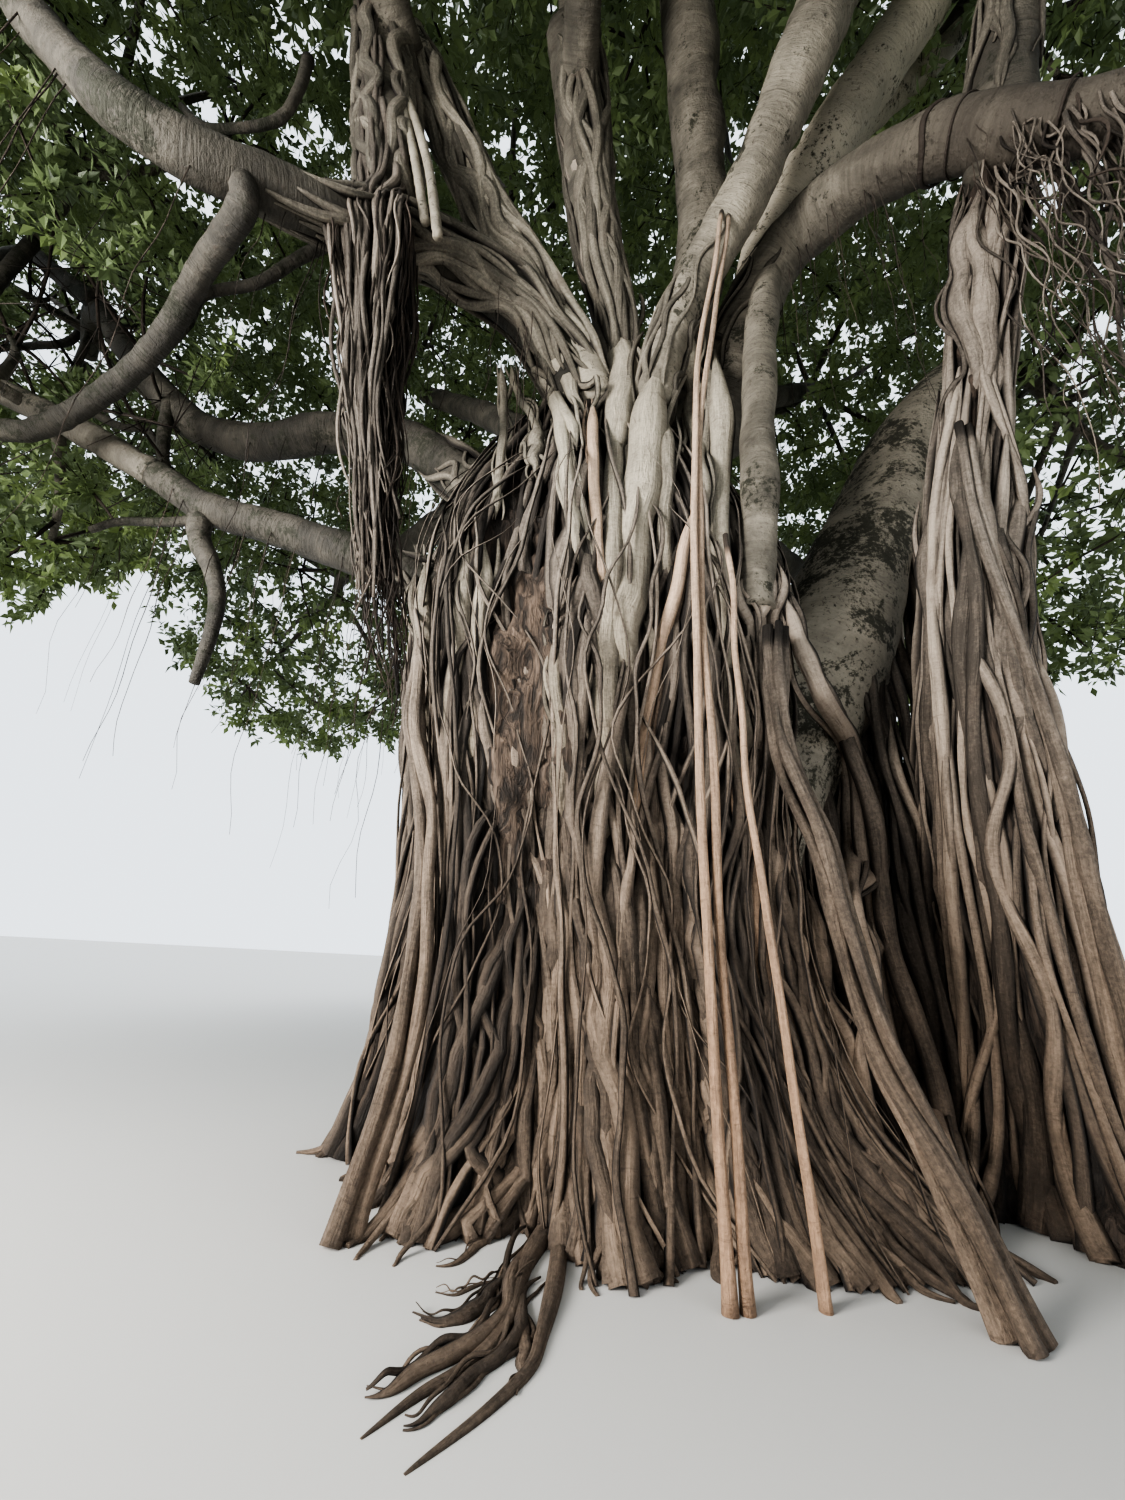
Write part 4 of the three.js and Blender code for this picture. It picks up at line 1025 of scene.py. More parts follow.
def root_bark(name, colour, dark, roughness=0.8):
    """Bark of a root: streaks along it, blotches, faint rings across it, its own tint, browner and darker
    near the ground, and painted shade where it lies in a hollow."""
    shade = Shade(name)
    uv = shade.node("ShaderNodeUVMap", {"uv_map": "UVMap"})
    place = shade.node("ShaderNodeTexCoord", {}, {}, "Object")
    level = shade.node("ShaderNodeSeparateXYZ", {}, {"Vector": place}, "Z")
    streaks = shade.noise(shade.stretched(uv, (24.0, 1.6, 1.0)), 1.0, 6.0, 0.65, 0.5)
    fibres = shade.noise(shade.stretched(uv, (90.0, 6.0, 1.0)), 1.0, 3.0, 0.6)
    blotches = shade.noise(place, 2.6, 6.0, 0.62)
    rings = shade.noise(shade.stretched(uv, (7.0, 34.0, 1.0)), 1.0, 3.0, 0.5, 1.2)
    flecks = shade.noise(place, 34.0, 6.0, 0.75)
    tint = shade.attribute("tint")
    hollow = shade.attribute("hollow")
    light = shade.band(streaks * 0.42 + blotches * 0.32 + flecks * 0.38 + tint * 0.34, 0.5, 1.02)
    bark = shade.blend(light, rgba(colour, 0.26), rgba(colour, 1.6))
    stained = shade.blend(shade.band(blotches, 0.52, 0.72) * 0.55, bark, rgba(dark, 1.8))
    ringed = shade.blend(shade.band(rings, 0.6, 0.74) * 0.3, stained, rgba(dark))
    near_ground = 1.0 - shade.band(level, 0.4, 6.5)
    darkened_low = shade.node("ShaderNodeMix", {"data_type": "RGBA", "blend_type": "MULTIPLY"},
                        {0: near_ground, 6: ringed, 7: rgba(FOOT_DARKENING)}, 2)
    # Painted shade: the bark goes dark where the hollow is deep, with the streaks breaking its edge
    sunk = shade.blend(shade.band(hollow + streaks * 0.3, 0.14, 1.02), darkened_low, rgba(dark, 0.3))
    height = streaks * 0.7 + fibres * 0.3 + flecks * 0.35 + rings * 0.12
    return shade.finish(sunk, fibres * 0.25 + (roughness - 0.12), height)


def limb_bark(name, colour, dark, mossy=0.6):
    """Bark of a smooth limb: pale with grey blotches, rings across it, dark flecks and patches of moss."""
    shade = Shade(name)
    uv = shade.node("ShaderNodeUVMap", {"uv_map": "UVMap"})
    place = shade.node("ShaderNodeTexCoord", {}, {}, "Object")
    blotches = shade.noise(place, 1.5, 7.0, 0.68, 0.6)
    rings = shade.noise(shade.stretched(uv, (1.6, 16.0, 1.0)), 1.0, 5.0, 0.62, 1.4)
    flecks = shade.noise(place, 19.0, 5.0, 0.75)
    moss = shade.noise(place, 1.1, 9.0, 0.78, 0.4)
    tint = shade.attribute("tint")
    hollow = shade.attribute("hollow")
    light = shade.band(blotches * 0.6 + rings * 0.2 + tint * 0.6, 0.34, 1.02)
    bark = shade.blend(light, rgba(colour, 0.13), rgba(colour, 1.3))
    ringed = shade.blend(shade.band(rings, 0.6, 0.76) * 0.4, bark, rgba(dark, 1.5))
    flecked = shade.blend(shade.band(flecks, 0.56, 0.64) * 0.55, ringed, rgba(dark, 1.2))
    patches = shade.band(moss * 0.7 + flecks * 0.3, 0.63 - mossy * 0.14, 0.68 - mossy * 0.14)
    covered = shade.blend(patches * 0.88, flecked, rgba(MOSS))
    # Painted shade where the hollow is deep; on the cracks round a bough the same value gives the cracks'
    # own dark
    sunk = shade.blend(hollow, covered, rgba(dark, 0.8))
    height = rings * 0.45 + flecks * 0.4 + blotches * 0.6
    return shade.finish(sunk, blotches * 0.25 + 0.6, height)


def core_bark(name, colour, dark):
    """Rough bark behind the roots: fibres that run up it, with dark seams between them, and painted shade
    where it lies in a hollow.
    """
    shade = Shade(name)
    place = shade.node("ShaderNodeTexCoord", {}, {}, "Object")
    hollow = shade.attribute("hollow")
    seams = shade.noise(shade.stretched(place, (9.0, 9.0, 1.3)), 1.0, 6.0, 0.68, 0.9)
    fibres = shade.noise(shade.stretched(place, (42.0, 42.0, 5.0)), 1.0, 4.0, 0.6)
    blotches = shade.noise(place, 2.2, 5.0, 0.6)
    bark = shade.blend(shade.band(fibres * 0.5 + blotches * 0.5, 0.35, 0.7), rgba(colour, 0.5),
                       rgba(colour, 1.4))
    seamed = shade.blend(shade.band(seams, 0.4, 0.54), rgba(dark, 0.5), bark)
    # Painted shade where the hollow is deep
    sunk = shade.blend(hollow, seamed, rgba(dark, 0.3))
    height = shade.band(seams, 0.34, 0.6) * 0.7 + fibres * 0.4
    return shade.finish(sunk, fibres * 0.2 + 0.75, height, 0.05)


def leaf_colour(name, colour):
    """One of the greens that are dealt out by spray. A faint glow stands for light that comes through."""
    glow = {"Emission Color": rgba(colour), "Emission Strength": LEAF_GLOW}
    return Shade(name).finish(rgba(colour), 0.5, others=glow)


def barks():
    """The barks that every piece of wood shares, made once."""
    made = bpy.data.materials
    if "old_root" not in made:
        options = settings()
        dark = tuple(options.brown_bark)
        root_bark("old_root", options.grey_bark, dark)
        root_bark("young_root", options.pale_bark, dark, 0.75)
        root_bark("tan_root", options.tan_bark, tuple(c * 1.5 for c in dark), 0.7)
        root_bark("hanging_root", tuple(c * 1.5 for c in dark), tuple(c * 0.5 for c in dark), 0.85)
        limb_bark("smooth_limb", options.pale_bark, dark)
        limb_bark("mossy_limb", tuple(c * 0.75 for c in options.pale_bark), dark, 1.0)
        # Painted shade: the pale limb's bark made darker, for boughs and limbs that lie in shade
        limb_bark("shaded_limb", tuple(c * 0.58 for c in options.pale_bark), dark, 0.8)
        core_bark("rough_core", CORE_BARK, dark)
    return {
        "grey": made["old_root"],
        "young": made["young_root"],
        "tan": made["tan_root"],
        "hanging": made["hanging_root"],
        "limb": made["smooth_limb"],
        "mossy": made["mossy_limb"],
        "shaded": made["shaded_limb"],
        "core": made["rough_core"],
    }


# The trunk


def places_of(spots):
    """Angle, height and half sizes of places on the trunk, from their pixels and half sizes."""
    balls = front_balls()
    places = []
    for pixel, half_angle, half_height in spots:
        reach, lines = first_touch(np.array([pixel], float), balls)
        at = CAMERA_AT + lines[0] * reach[0]
        places.append((float(trunk_angle(at)), float(at[2]), half_angle, half_height))
    return places


def within(angle, height, places):
    """1 in the middle of a place and 0 outside it."""
    total = 0
    for middle, level, half_angle, half_height in places:
        turn = (angle - middle + math.pi) % (2 * math.pi) - math.pi
        total = total + np.clip(1.4 - np.hypot(turn / half_angle, (height - level) / half_height), 0, 1)
    return smoothstep(total, 0, 0.6)


def trunk_core(places):
    """The bark behind the roots: the trunk's outline moved inward, with lumps, and forward to its full
    size where the bark is bare, closed over at the fork."""
    sides = 180
    steps = 90
    angle = np.arange(sides) * -2 * math.pi / sides
    height = np.linspace(0, TRUNK_HEIGHT + 0.1, steps)[:, None]
    bare = within(angle, height, places)
    flat = trunk_point(angle, height)
    lumps = relief(flat * (1.6, 1.6, 0.8), 0.5, 5) * 0.05 + relief(flat, 0.16, 6) * settings().bark_relief
    ribs = np.cos(34 * angle + 4 * relief(flat, 1.8, 7)) * 0.03
    proud = mix(-settings().core_depth, -0.1, bare) + lumps + ribs * bare
    points = trunk_point(angle, height, proud)
    closing = np.sqrt(np.clip(1 - ((height - 7.9) / 0.8).clip(0, 1) ** 2, 0.0004, 1))
    axis = np.array([TRUNK_LEAN, 0.0])
    points[..., :2] = axis + (points[..., :2] - axis) * closing[..., None]
    # Painted shade: the core is darkened behind the roots, less where the bark is bare
    hollow = np.clip(0.65 - 0.6 * bare, 0, 1)
    gathered = Surfaces()
    gathered.add_tubes(points[None], hollow=hollow[None])
    gathered.build("trunk_core", [barks()["core"]], ["trunk"])


def strand_network(rng, count, forks, top, spread, sector=(0, 2 * math.pi), steps=46):
    """Angle and height rows of roots that wander down the trunk: parents spread evenly over a sector of
    it, and forks that leave a parent at some height and drift aside on their way down."""
    share = np.linspace(0, 1, steps)
    start = mix(*sector, (np.arange(count) + rng.uniform(-0.35, 0.35, count)) / count)
    tops = top - rng.uniform(0, 1.6, count) ** 1.5
    height = tops[:, None] * (1 - share)
    winding = ripple(rng, (count, steps), 4, 0.3, 2.6) * spread
    angle = start[:, None] + winding + ripple(rng, (count, steps), 5, 3.0, 9.0) * 0.008
    parent = rng.integers(0, count, forks)
    leaving = rng.uniform(1.0, 7.2, forks)
    fork_height = leaving[:, None] * (1 - share)
    followed = np.stack([np.interp(h, height[p][::-1], angle[p][::-1]) for p, h in zip(parent, fork_height)])
    aside = rng.uniform(0.05, 0.22, forks) * rng.choice([-1, 1], forks)
    fall = leaving[:, None] - fork_height
    drift = aside[:, None] * (1 - np.exp(-fall / 1.1))
    wander = ripple(rng, (forks, steps), 4, 0.3, 2.6) * spread * 0.5 * smoothstep(fall, 0, 1)
    angles = np.vstack([angle, followed + drift + wander])
    heights = np.vstack([height, fork_height])
    swirl = 0.05 * np.sin(1.1 * heights + 3 * angles)
    return angles + swirl, heights


def front_share(angle):
    """1 for the side of the trunk that faces the front and 0 for the rest."""
    return smoothstep(-np.sin(angle + 0.06), 0.05, 0.35)


def add_strands(gathered, rng, rows, radii, proud, sides, places, hollow=0.0, flat=0.75, tones=(0.2, 0.9)):
    """Roots that lie on the trunk along rows of angles and heights, part sunk in it. Their tops thin out
    and sink away."""
    angle, height = rows
    radius = rng.uniform(*radii, len(angle))[:, None] * mix(0.75, 1.15, 1 - height / TRUNK_HEIGHT)
    radius = radius * (1 + 0.4 * np.exp(-height / 0.35)) * (1 - 0.35 * front_share(angle))
    rising = smoothstep(height[:, :1] - height, 0, 0.7)
    proud = proud + ripple(rng, angle.shape, 4, 0.4, 3.0) * 0.03 - (1 - rising) * 0.16
    sunk = 0.12 * within(angle, height, places)
    points = trunk_point(angle, height, proud - sunk)
    outward = unit(trunk_point(angle, height, 1.0) - trunk_point(angle, height, 0.0))
    # Painted shade: strands are darker in the dark places and in their creases
    dark = 0.4 * within(angle, height, places_of(DARK_PLACES))[..., None]
    add_roots(gathered, rng, points, outward, radius * mix(0.2, 1.0, rising), sides, tones,
              shade_round(sides, hollow + dark), knots=(0.13, 0.17), wide=1.1, thick=flat)


def trunk_roots(places):
    """Roots all round the trunk: dark ones behind, darkened with painted shade, and large ones over them.
    Then thin ones, layers of low ones at the front, wires and a few that cross the rest."""
    rng = np.random.default_rng(settings().seed)
    materials = [barks()["grey"]]
    behind = Surfaces()
    rows = strand_network(rng, count=90, forks=110, top=8.7, spread=0.045, steps=30)
    # Painted shade: the roots behind lie deep in the hollow and have darker tones
    add_strands(behind, rng, rows, (0.035, 0.075), -0.13, 5, places, hollow=0.65, tones=(0.0, 0.5))
    behind.build("roots_behind", materials)
    large = Surfaces()
    rows = strand_network(rng, count=settings().trunk_strands, forks=110, top=8.9, spread=0.06)
    facing = front_share(rows[0])
    # Painted shade: large roots that face the front lie deeper and are darkened more
    add_strands(large, rng, rows, (0.05, 0.125), -0.03 - 0.1 * facing, 7, places,
                hollow=0.25 * facing[..., None], tones=(0.1, 0.75))
    large.build("roots_round_trunk", materials)
    fine = Surfaces()
    rows = strand_network(rng, count=44, forks=56, top=8.3, spread=0.07)
    proud = 0.02 - 0.03 * front_share(rows[0])
    add_strands(fine, rng, rows, (0.012, 0.036), proud, 5, places, hollow=0.05, flat=1.0)
    for top, count, radii in LOW_LAYERS:
        angle, height = strand_network(rng, count, count, top, 0.03, FRONT_SECTOR, steps=24)
        height = height * np.minimum(1, top / height.max(axis=1))[:, None]
        add_strands(fine, rng, (angle, height), radii, -0.04, 6, places, hollow=0.1, flat=0.9,
                    tones=(0.1, 0.8))
    rows = strand_network(rng, count=14, forks=14, top=8.0, spread=0.11)
    add_strands(fine, rng, rows, (0.006, 0.014), 0.07, 4, places, flat=1.0)
    for spread, count, radii in CROSSING_ROOTS:
        rows = strand_network(rng, count, count // 2, 6.6, spread, FRONT_SECTOR)
        add_strands(fine, rng, rows, radii, 0.06, 5, places, flat=1.0, tones=(0.1, 0.8))
    fine.build("roots_fine_and_low", materials)


def strands_of(rng, roots, steps, strand_width):
    """Rows of pixels, widths and lifts: a root much wider than a strand becomes strands side by side that
    wander across each other."""
    share = np.linspace(0, 1, steps)
    pixels, widths, lifts = [], [], []
    for first, last, lift, passed in roots.values():
        line = curve_through(passed, steps)
        count = max(1, round((first + last) / 2 / strand_width))
        width = mix(first, last, share)
        for k in range(count):
            sway = ripple(rng, (1, steps), 4, 0.5, 3.0)[0] * 0.3 * (count > 1)
            away = (k - (count - 1) / 2) / count + sway
            pixels.append(line + np.stack([away * width, 0 * width], axis=1))
            widths.append(width / count * (1 if count == 1 else rng.uniform(0.9, 1.5)))
            lifts.append(lift + (0 if count == 1 else rng.uniform(-0.3, 0.3)))
    return np.stack(pixels), np.stack(widths), np.array(lifts)[:, None]


def add_photo_roots(gathered, rng, roots, balls, strand_width, rugged=0.13, tones=(0.45, 0.95), hollow=0.0):
    """Roots placed by their pixels on whatever the camera sees there first, each with some thinner ones
    beside it. A root's width in pixels gives its radius at that distance."""
    steps = 48
    sides = 9
    thin_sides = 5
    beside = 2
    pixels, width, lift = strands_of(rng, roots, steps, strand_width)
    tubes = len(pixels)
    reach, lines = first_touch(pixels.reshape(-1, 2), balls)
    reach = evened(reach.reshape(tubes, steps), 13)
    lines = lines.reshape(tubes, steps, 3)
    radius = width / 2 * reach / PHOTO_FOCAL
    points = CAMERA_AT + lines * reach[..., None]
    reaching = np.clip(radius.mean(axis=1) * 9, 0.35, 1.3)[:, None]
    whole = tapered(lengths_of(points), steps, reaching)
    aside = swaying(rng, (tubes, steps), 0.8, 5.0, 3)
    sight = unit(lines)
    centre = points - sight * (radius * (mix(-0.1, 1.0, lift) - 1.5 * (1 - whole)))[..., None]
    centre = centre + aside * radius[..., None] * 0.14
    centre[..., 2] = np.maximum(centre[..., 2], radius * 0.35)
    # Painted shade: roots that lie sunk deeper are darker, and each is darker in its creases
    lifted = lift[..., None]
    add_roots(gathered, rng, centre, -sight, radius * mix(0.1, 1.0, whole**1.7), sides, tones,
              shade_round(sides, hollow + 0.15 * (1 - lifted)), knots=(rugged * 0.8, rugged),
              wide=mix(1.15, 1.0, lifted), thick=0.9)
    across = unit(np.cross(sight, unit(np.gradient(centre, axis=1))))
    for _ in range(beside):
        away = rng.choice([-1, 1], tubes)[:, None] * rng.uniform(0.7, 1.5, tubes)[:, None]
        away = away + ripple(rng, (tubes, steps), 4, 0.6, 4.0) * 0.55
        thin = radius * rng.uniform(0.22, 0.5, tubes)[:, None]
        spot = centre + across * (away * radius)[..., None] + sight * (radius * 0.35)[..., None]
        spot[..., 2] = np.maximum(spot[..., 2], thin * 0.35)
        add_roots(gathered, rng, spot, -sight, thin * mix(0.3, 1.0, whole), thin_sides, (0, 0.8),
                  shade_round(thin_sides, 0.15))


def front_roots():
    """The roots that the photo shows on the trunk, the limbs above it and the column."""
    rng = np.random.default_rng(settings().seed + 1)
    balls = front_balls()
    pieces = (("roots_front_pale", PALE_ROOTS, "young", "bark_pale", 60, 0.05, (0.4, 0.85)),
              ("roots_front_grey", GREY_ROOTS, "grey", "bark_grey", 14, 0.15, (0.45, 0.95)),
              ("roots_front_tan", TAN_ROOTS, "tan", "root_tan", 30, 0.05, (0.45, 0.95)),
              ("roots_on_column", COLUMN_ROOTS, "grey", "bark_pale", 13, 0.13, (0.05, 0.7)))
    for name, roots, bark, slot, strand_width, rugged, tones in pieces:
        gathered = Surfaces()
        add_photo_roots(gathered, rng, roots, balls, strand_width, rugged, tones)
        gathered.build(name, [barks()[bark]])


# The column, the free roots and the ground roots


def root_column():
    """The column's core and the roots fused round it."""
    rng = np.random.default_rng(settings().seed + 2)
    sides = 48
    steps = 70
    angle = np.arange(sides) * -2 * math.pi / sides
    share = np.linspace(0, 1, steps)[:, None]
    flat = column_point(angle, share + 0 * angle)
    points = column_point(angle, share + 0 * angle, relief(flat, 0.3, 8) * 0.03 - 0.1)
    core = Surfaces()
    # Painted shade: the column's core is darkened behind its roots
    core.add_tubes(points[None], hollow=0.6)
    core.build("column_core", [barks()["core"]], ["root_column_right"])
    strands = Surfaces()
    steps = 44
    sides = 7
    for count, radii, proud, hollow in COLUMN_LAYERS:
        start = (np.arange(count) + rng.uniform(-0.4, 0.4, count)) * 2 * math.pi / count
        turns = start[:, None] + ripple(rng, (count, steps), 4, 0.4, 3.0) * 0.16
        top = rng.uniform(0.55, 1.0, count)[:, None]
        along = top * (1 - np.linspace(0, 1, steps))
        middle = column_point(turns, along, proud + ripple(rng, (count, steps), 4, 0.5, 4.0) * 0.03)
        outward = unit(column_point(turns, along, 1.0) - column_point(turns, along, 0.0))
        radius = rng.uniform(*radii, count)[:, None] * (1 + 0.5 * np.exp(-middle[..., 2] / 0.4))
        whole = tapered(lengths_of(middle), steps, 0.6)
        whole[:, steps // 2:] = 1
        add_roots(strands, rng, middle, outward, radius * mix(0.25, 1.0, whole), sides, (0, 1),
                  shade_round(sides, hollow), thick=0.85)
    strands.build("column_roots", [barks()["grey"]])


def free_roots():
    """The stem beside the fork and the prop roots. Each is a bundle of strands that wind slowly round its
    path inside the frame's radius and swell at the ground."""
    rng = np.random.default_rng(settings().seed + 3)
    finishes = ("pale", "tan", "grey")
    gathered = Surfaces()
    steps = 80
    for name, (bark, start, stop, path) in FREE_ROOTS.items():
        strands, thickness, wind, sides = BUNDLES[name]
        middle = curve_through(path, steps)
        share = np.linspace(0, 1, steps)
        radius = mix(start, stop, share) * (1 + 0.3 * np.exp(-middle[:, 2] / 0.2))
        turn = np.arange(strands)[:, None] * 2 * math.pi / strands + 0.3 + share * wind
        turn = turn + ripple(rng, (strands, steps), 3, 0.5, 2.0) * 0.4 * (wind > 0)
        aside = np.stack([np.cos(turn), np.sin(turn), 0 * turn], axis=-1)
        away = (radius * (1 - thickness))[None, :, None] * (strands > 1)
        wander = swaying(rng, (strands, steps), 1.0, 5.0, 3) * np.array([0.014, 0.014, 0.0])
        points = middle + aside * away + wander
        along = np.linalg.norm(middle - middle[0], axis=1)
        # Painted shade near each root's top, where it leaves the bough above
        shading = 0.75 * (1 - smoothstep(along, TOP_SHADE[bark] * 0.4, TOP_SHADE[bark]))
        rugged = 0.12 if bark == "grey" else 0.03
        add_roots(gathered, rng, points, TOWARDS_FRONT, (radius * thickness)[None], sides, FREE_TONES[bark],
                  shading[None, :, None], finishes.index(bark), (rugged, rugged))
    materials = [barks()["limb"], barks()["tan"], barks()["grey"]]
    gathered.build("free_roots", materials, list(FREE_ROOTS))


def standing_roots():
    """Roots that come down from the great right limb and stand in the ground behind the front ones."""
    rng = np.random.default_rng(settings().seed + 8)
    gathered = Surfaces()
    count = 54
    steps = 36
    sides = 6
    tops = under_bough(rng, "right_back", 0.12, 0.62, count)
    share = np.linspace(0, 1, steps)[None, :, None]
    feet = tops * np.array([0.72, 1.0, 0.0]) + np.array([0.75, -0.15, 0.0])
    feet[:, :2] += rng.uniform(-0.25, 0.25, (count, 2))
    points = tops[:, None] + (feet - tops)[:, None] * share
    points[..., :2] += swaying(rng, (count, steps), 0.5, 3.0) * 0.06
    radius = rng.uniform(0.025, 0.085, count)[:, None] * (1 + 0.5 * np.exp(-points[..., 2] / 0.3))
    add_roots(gathered, rng, points, TOWARDS_FRONT, radius, sides, (0, 0.9), shade_round(sides, 0.2, 0.5))
    gathered.build("standing_roots", [barks()["grey"]])


def add_hanging(gathered, rng, tops, lengths, radii, pull=None, steps=18, finish=0, sway=0.05):
    """Roots that hang from their tops, swaying a little, drawn towards an axis where one is given."""
    sides = 4
    share = np.linspace(0, 1, steps)
    height = tops[:, 2:3] - lengths[:, None] * share
    points = np.repeat(tops[:, None], steps, axis=1)
    points[..., 2] = height
    if pull is not None:
        axis = pull[np.argsort(pull[:, 2])]
        drawn = np.stack([np.interp(height, axis[:, 2], axis[:, k]) for k in (0, 1)], axis=-1)
        closer = mix(1.0, 0.3, smoothstep(share, 0, 0.9))[None, :, None]
        points[..., :2] = drawn + (points[:, :1, :2] - drawn[:, :1]) * closer
    swing = swaying(rng, height.shape, 0.5, 3.5)
    points[..., :2] += swing * (sway * np.sqrt(share))[None, :, None]
    radius = rng.uniform(*radii, len(tops))[:, None] * mix(1.0, 0.35, share)
    add_roots(gathered, rng, points, TOWARDS_FRONT, radius, sides, (0, 0.8), 0.25, finish, (0.05, 0.1))


def under_bough(rng, name, low, high, count):
    """Places on the underside of a bough, between two shares of its length."""
    start, stop, path = BOUGHS[name]
    share = rng.uniform(low, high, count)
    at = looked_up(share, curve_through(path, 100))
    radius = mix(start, stop, share)
    aside = rng.uniform(-0.9, 0.9, count)
    at[:, 1] += radius * aside
    at[:, 2] -= radius * np.sqrt(1 - aside**2) * 0.85
    return at


def over_limb(gathered, rng):
    """Strands of the curtain that come down from the bough above it, over the front of the limb."""
    count = 22
    steps = 46
    sides = 6
    bough = curve_through(BOUGHS["left_column"][2], 40)
    aside = rng.uniform(-0.33, 0.33, count)
    top = rng.uniform(9.2, 12.4, count)
    paths = []
    for offset, start in zip(aside, top):
        front = math.sqrt(0.36**2 - offset**2)
        heights = np.linspace(start, 9.25, 4)
        upper = np.stack([np.interp(heights, bough[:, 2], bough[:, k]) for k in (0, 1)], axis=1)
        points = [(x + offset, y - front, z) for (x, y), z in zip(upper, heights)]
        points += [(-2.75 + offset, -2.28, 8.7), (-2.65 + 0.8 * offset, -2.2, 7.7)]
        points += [(-2.42 + 0.5 * offset, -1.92, 5.9), (-2.2 + 0.4 * offset, -1.7, rng.uniform(4.2, 5.2))]
        paths.append(curve_through(points, steps))
    paths = np.stack(paths)
    paths[..., :2] += swaying(rng, (count, steps), 1.0, 5.0) * 0.03
    radius = rng.uniform(0.014, 0.042, count)[:, None] * np.linspace(1.15, 0.4, steps)
    add_roots(gathered, rng, paths, np.array([0.3, -1.0, 0.1]), radius, sides, (0.0, 0.6),
              shade_round(sides, 0.28, 0.6), 1)


def curtain(rng):
    """The hanging bundle under the left bough: a dark core, dark strands at its right, pale ones over its
    left, and some that come down over the limb. The dark core is painted shade for the shadow inside the
    bundle; the dark strands at its right are partly the hanging roots' own brown and partly painted shade."""
    axis = curve_through(CURTAIN_AXIS, 40)
    sides = 14
    gathered = Surfaces()
    core = axis + np.array([0.08, 0.12, 0.0])
    lumps = 1 + 0.2 * relief(core[:, None] + np.zeros((1, sides, 1)), 0.4, 3)
    radius = mix(0.2, 0.02, smoothstep(np.linspace(0, 1, 40), 0.2, 0.8))[:, None] * lumps
    # Painted shade: a dark core, deep in the hollow
    gathered.add_tubes(swept(core[None], TOWARDS_FRONT, radius, radius, sides), 0.1, 0.9)
    for count, radii, reach, finish, sideways, deep in CURTAIN_GROUPS:
        tops = np.zeros((count, 3))
        tops[:, 0] = axis[0, 0] + rng.uniform(*sideways, count)
        tops[:, 1] = axis[0, 1] + rng.uniform(*deep, count)
        tops[:, 2] = CURTAIN_TOP + rng.uniform(-0.2, 0.1, count)
        lengths = rng.uniform(*reach, count)
        add_hanging(gathered, rng, tops, lengths, radii, axis, finish=finish, steps=30, sway=0.1)
    over_limb(gathered, rng)
    gathered.build("curtain", [barks()["hanging"], barks()["grey"]], ["root_curtain"])


def hanging_roots():
    """The curtain, threads that hang from the boughs, and the tangle under the low right bough."""
    rng = np.random.default_rng(settings().seed + 4)
    curtain(rng)
    thin = Surfaces()
    for name, part, count, reach in THREADS:
        tops = under_bough(rng, name, *part, count)
        add_hanging(thin, rng, tops, rng.uniform(*reach, count), THREAD_RADII, sway=0.04)
    for count, part, radii, sway, finish in TANGLE:
        tops = under_bough(rng, "right_low", *part, count)
        lengths = rng.uniform(*TANGLE_LENGTHS, count)
        add_hanging(thin, rng, tops, lengths, radii, finish=finish, steps=32, sway=sway)
    thin.build("hanging_roots", [barks()["hanging"], barks()["grey"]])


def ground_roots():
    """Roots along the ground from the trunk's foot, half sunk, and a fan of finer ones round the foot."""
    rng = np.random.default_rng(settings().seed + 5)
    gathered = Surfaces()
    add_photo_roots(gathered, rng, FOOT_ROOTS, front_balls(), 12, tones=(0.2, 0.7), hollow=0.1)
    steps = 60
    sides = 14
    share = np.linspace(0, 1, steps)
    for start, stop, path in GROUND_ROOTS.values():
        level = curve_through([(x, y, 0.0) for x, y in path], steps)[None]
        radius = np.linspace(start, stop, steps) * np.sqrt(1 - share**3 * 0.96) * 0.8
        factors = knotted(rng, level, sides, 0.06, 0.08) * radius[:, None]
        rings = swept(level, UP, factors, factors, sides)
        gathered.add_tubes(rings, 0.3, 0.1, 0, rng.uniform(0, BARK_SHIFT))
    add_fan(gathered, rng)
    gathered.build("ground_roots", [barks()["grey"]], list(GROUND_ROOTS))


def add_fan(gathered, rng):
    """Fine roots all round the trunk's foot: each runs down it and a little way out along the ground."""
    count = 80
    steps = 16
    sides = 6
    foot = rng.uniform(0, 2 * math.pi, count)
    out = np.linspace(0, 1, steps)
    length = rng.uniform(0.08, 0.4, count)[:, None]
    turned = foot[:, None] + ripple(rng, (count, steps), 3, 0.3, 1.2) * 0.025
    climb = rng.uniform(0.15, 0.6, count)[:, None]
    height = climb * (1 - out) ** 2.2
    middle = trunk_point(turned, height, -0.08 + out * length)
    radius = rng.uniform(0.02, 0.055, count)[:, None] * mix(1.1, 0.45, out)
    add_roots(gathered, rng, middle, UP, radius, sides, (0, 0.6), 0.15)


# Boughs


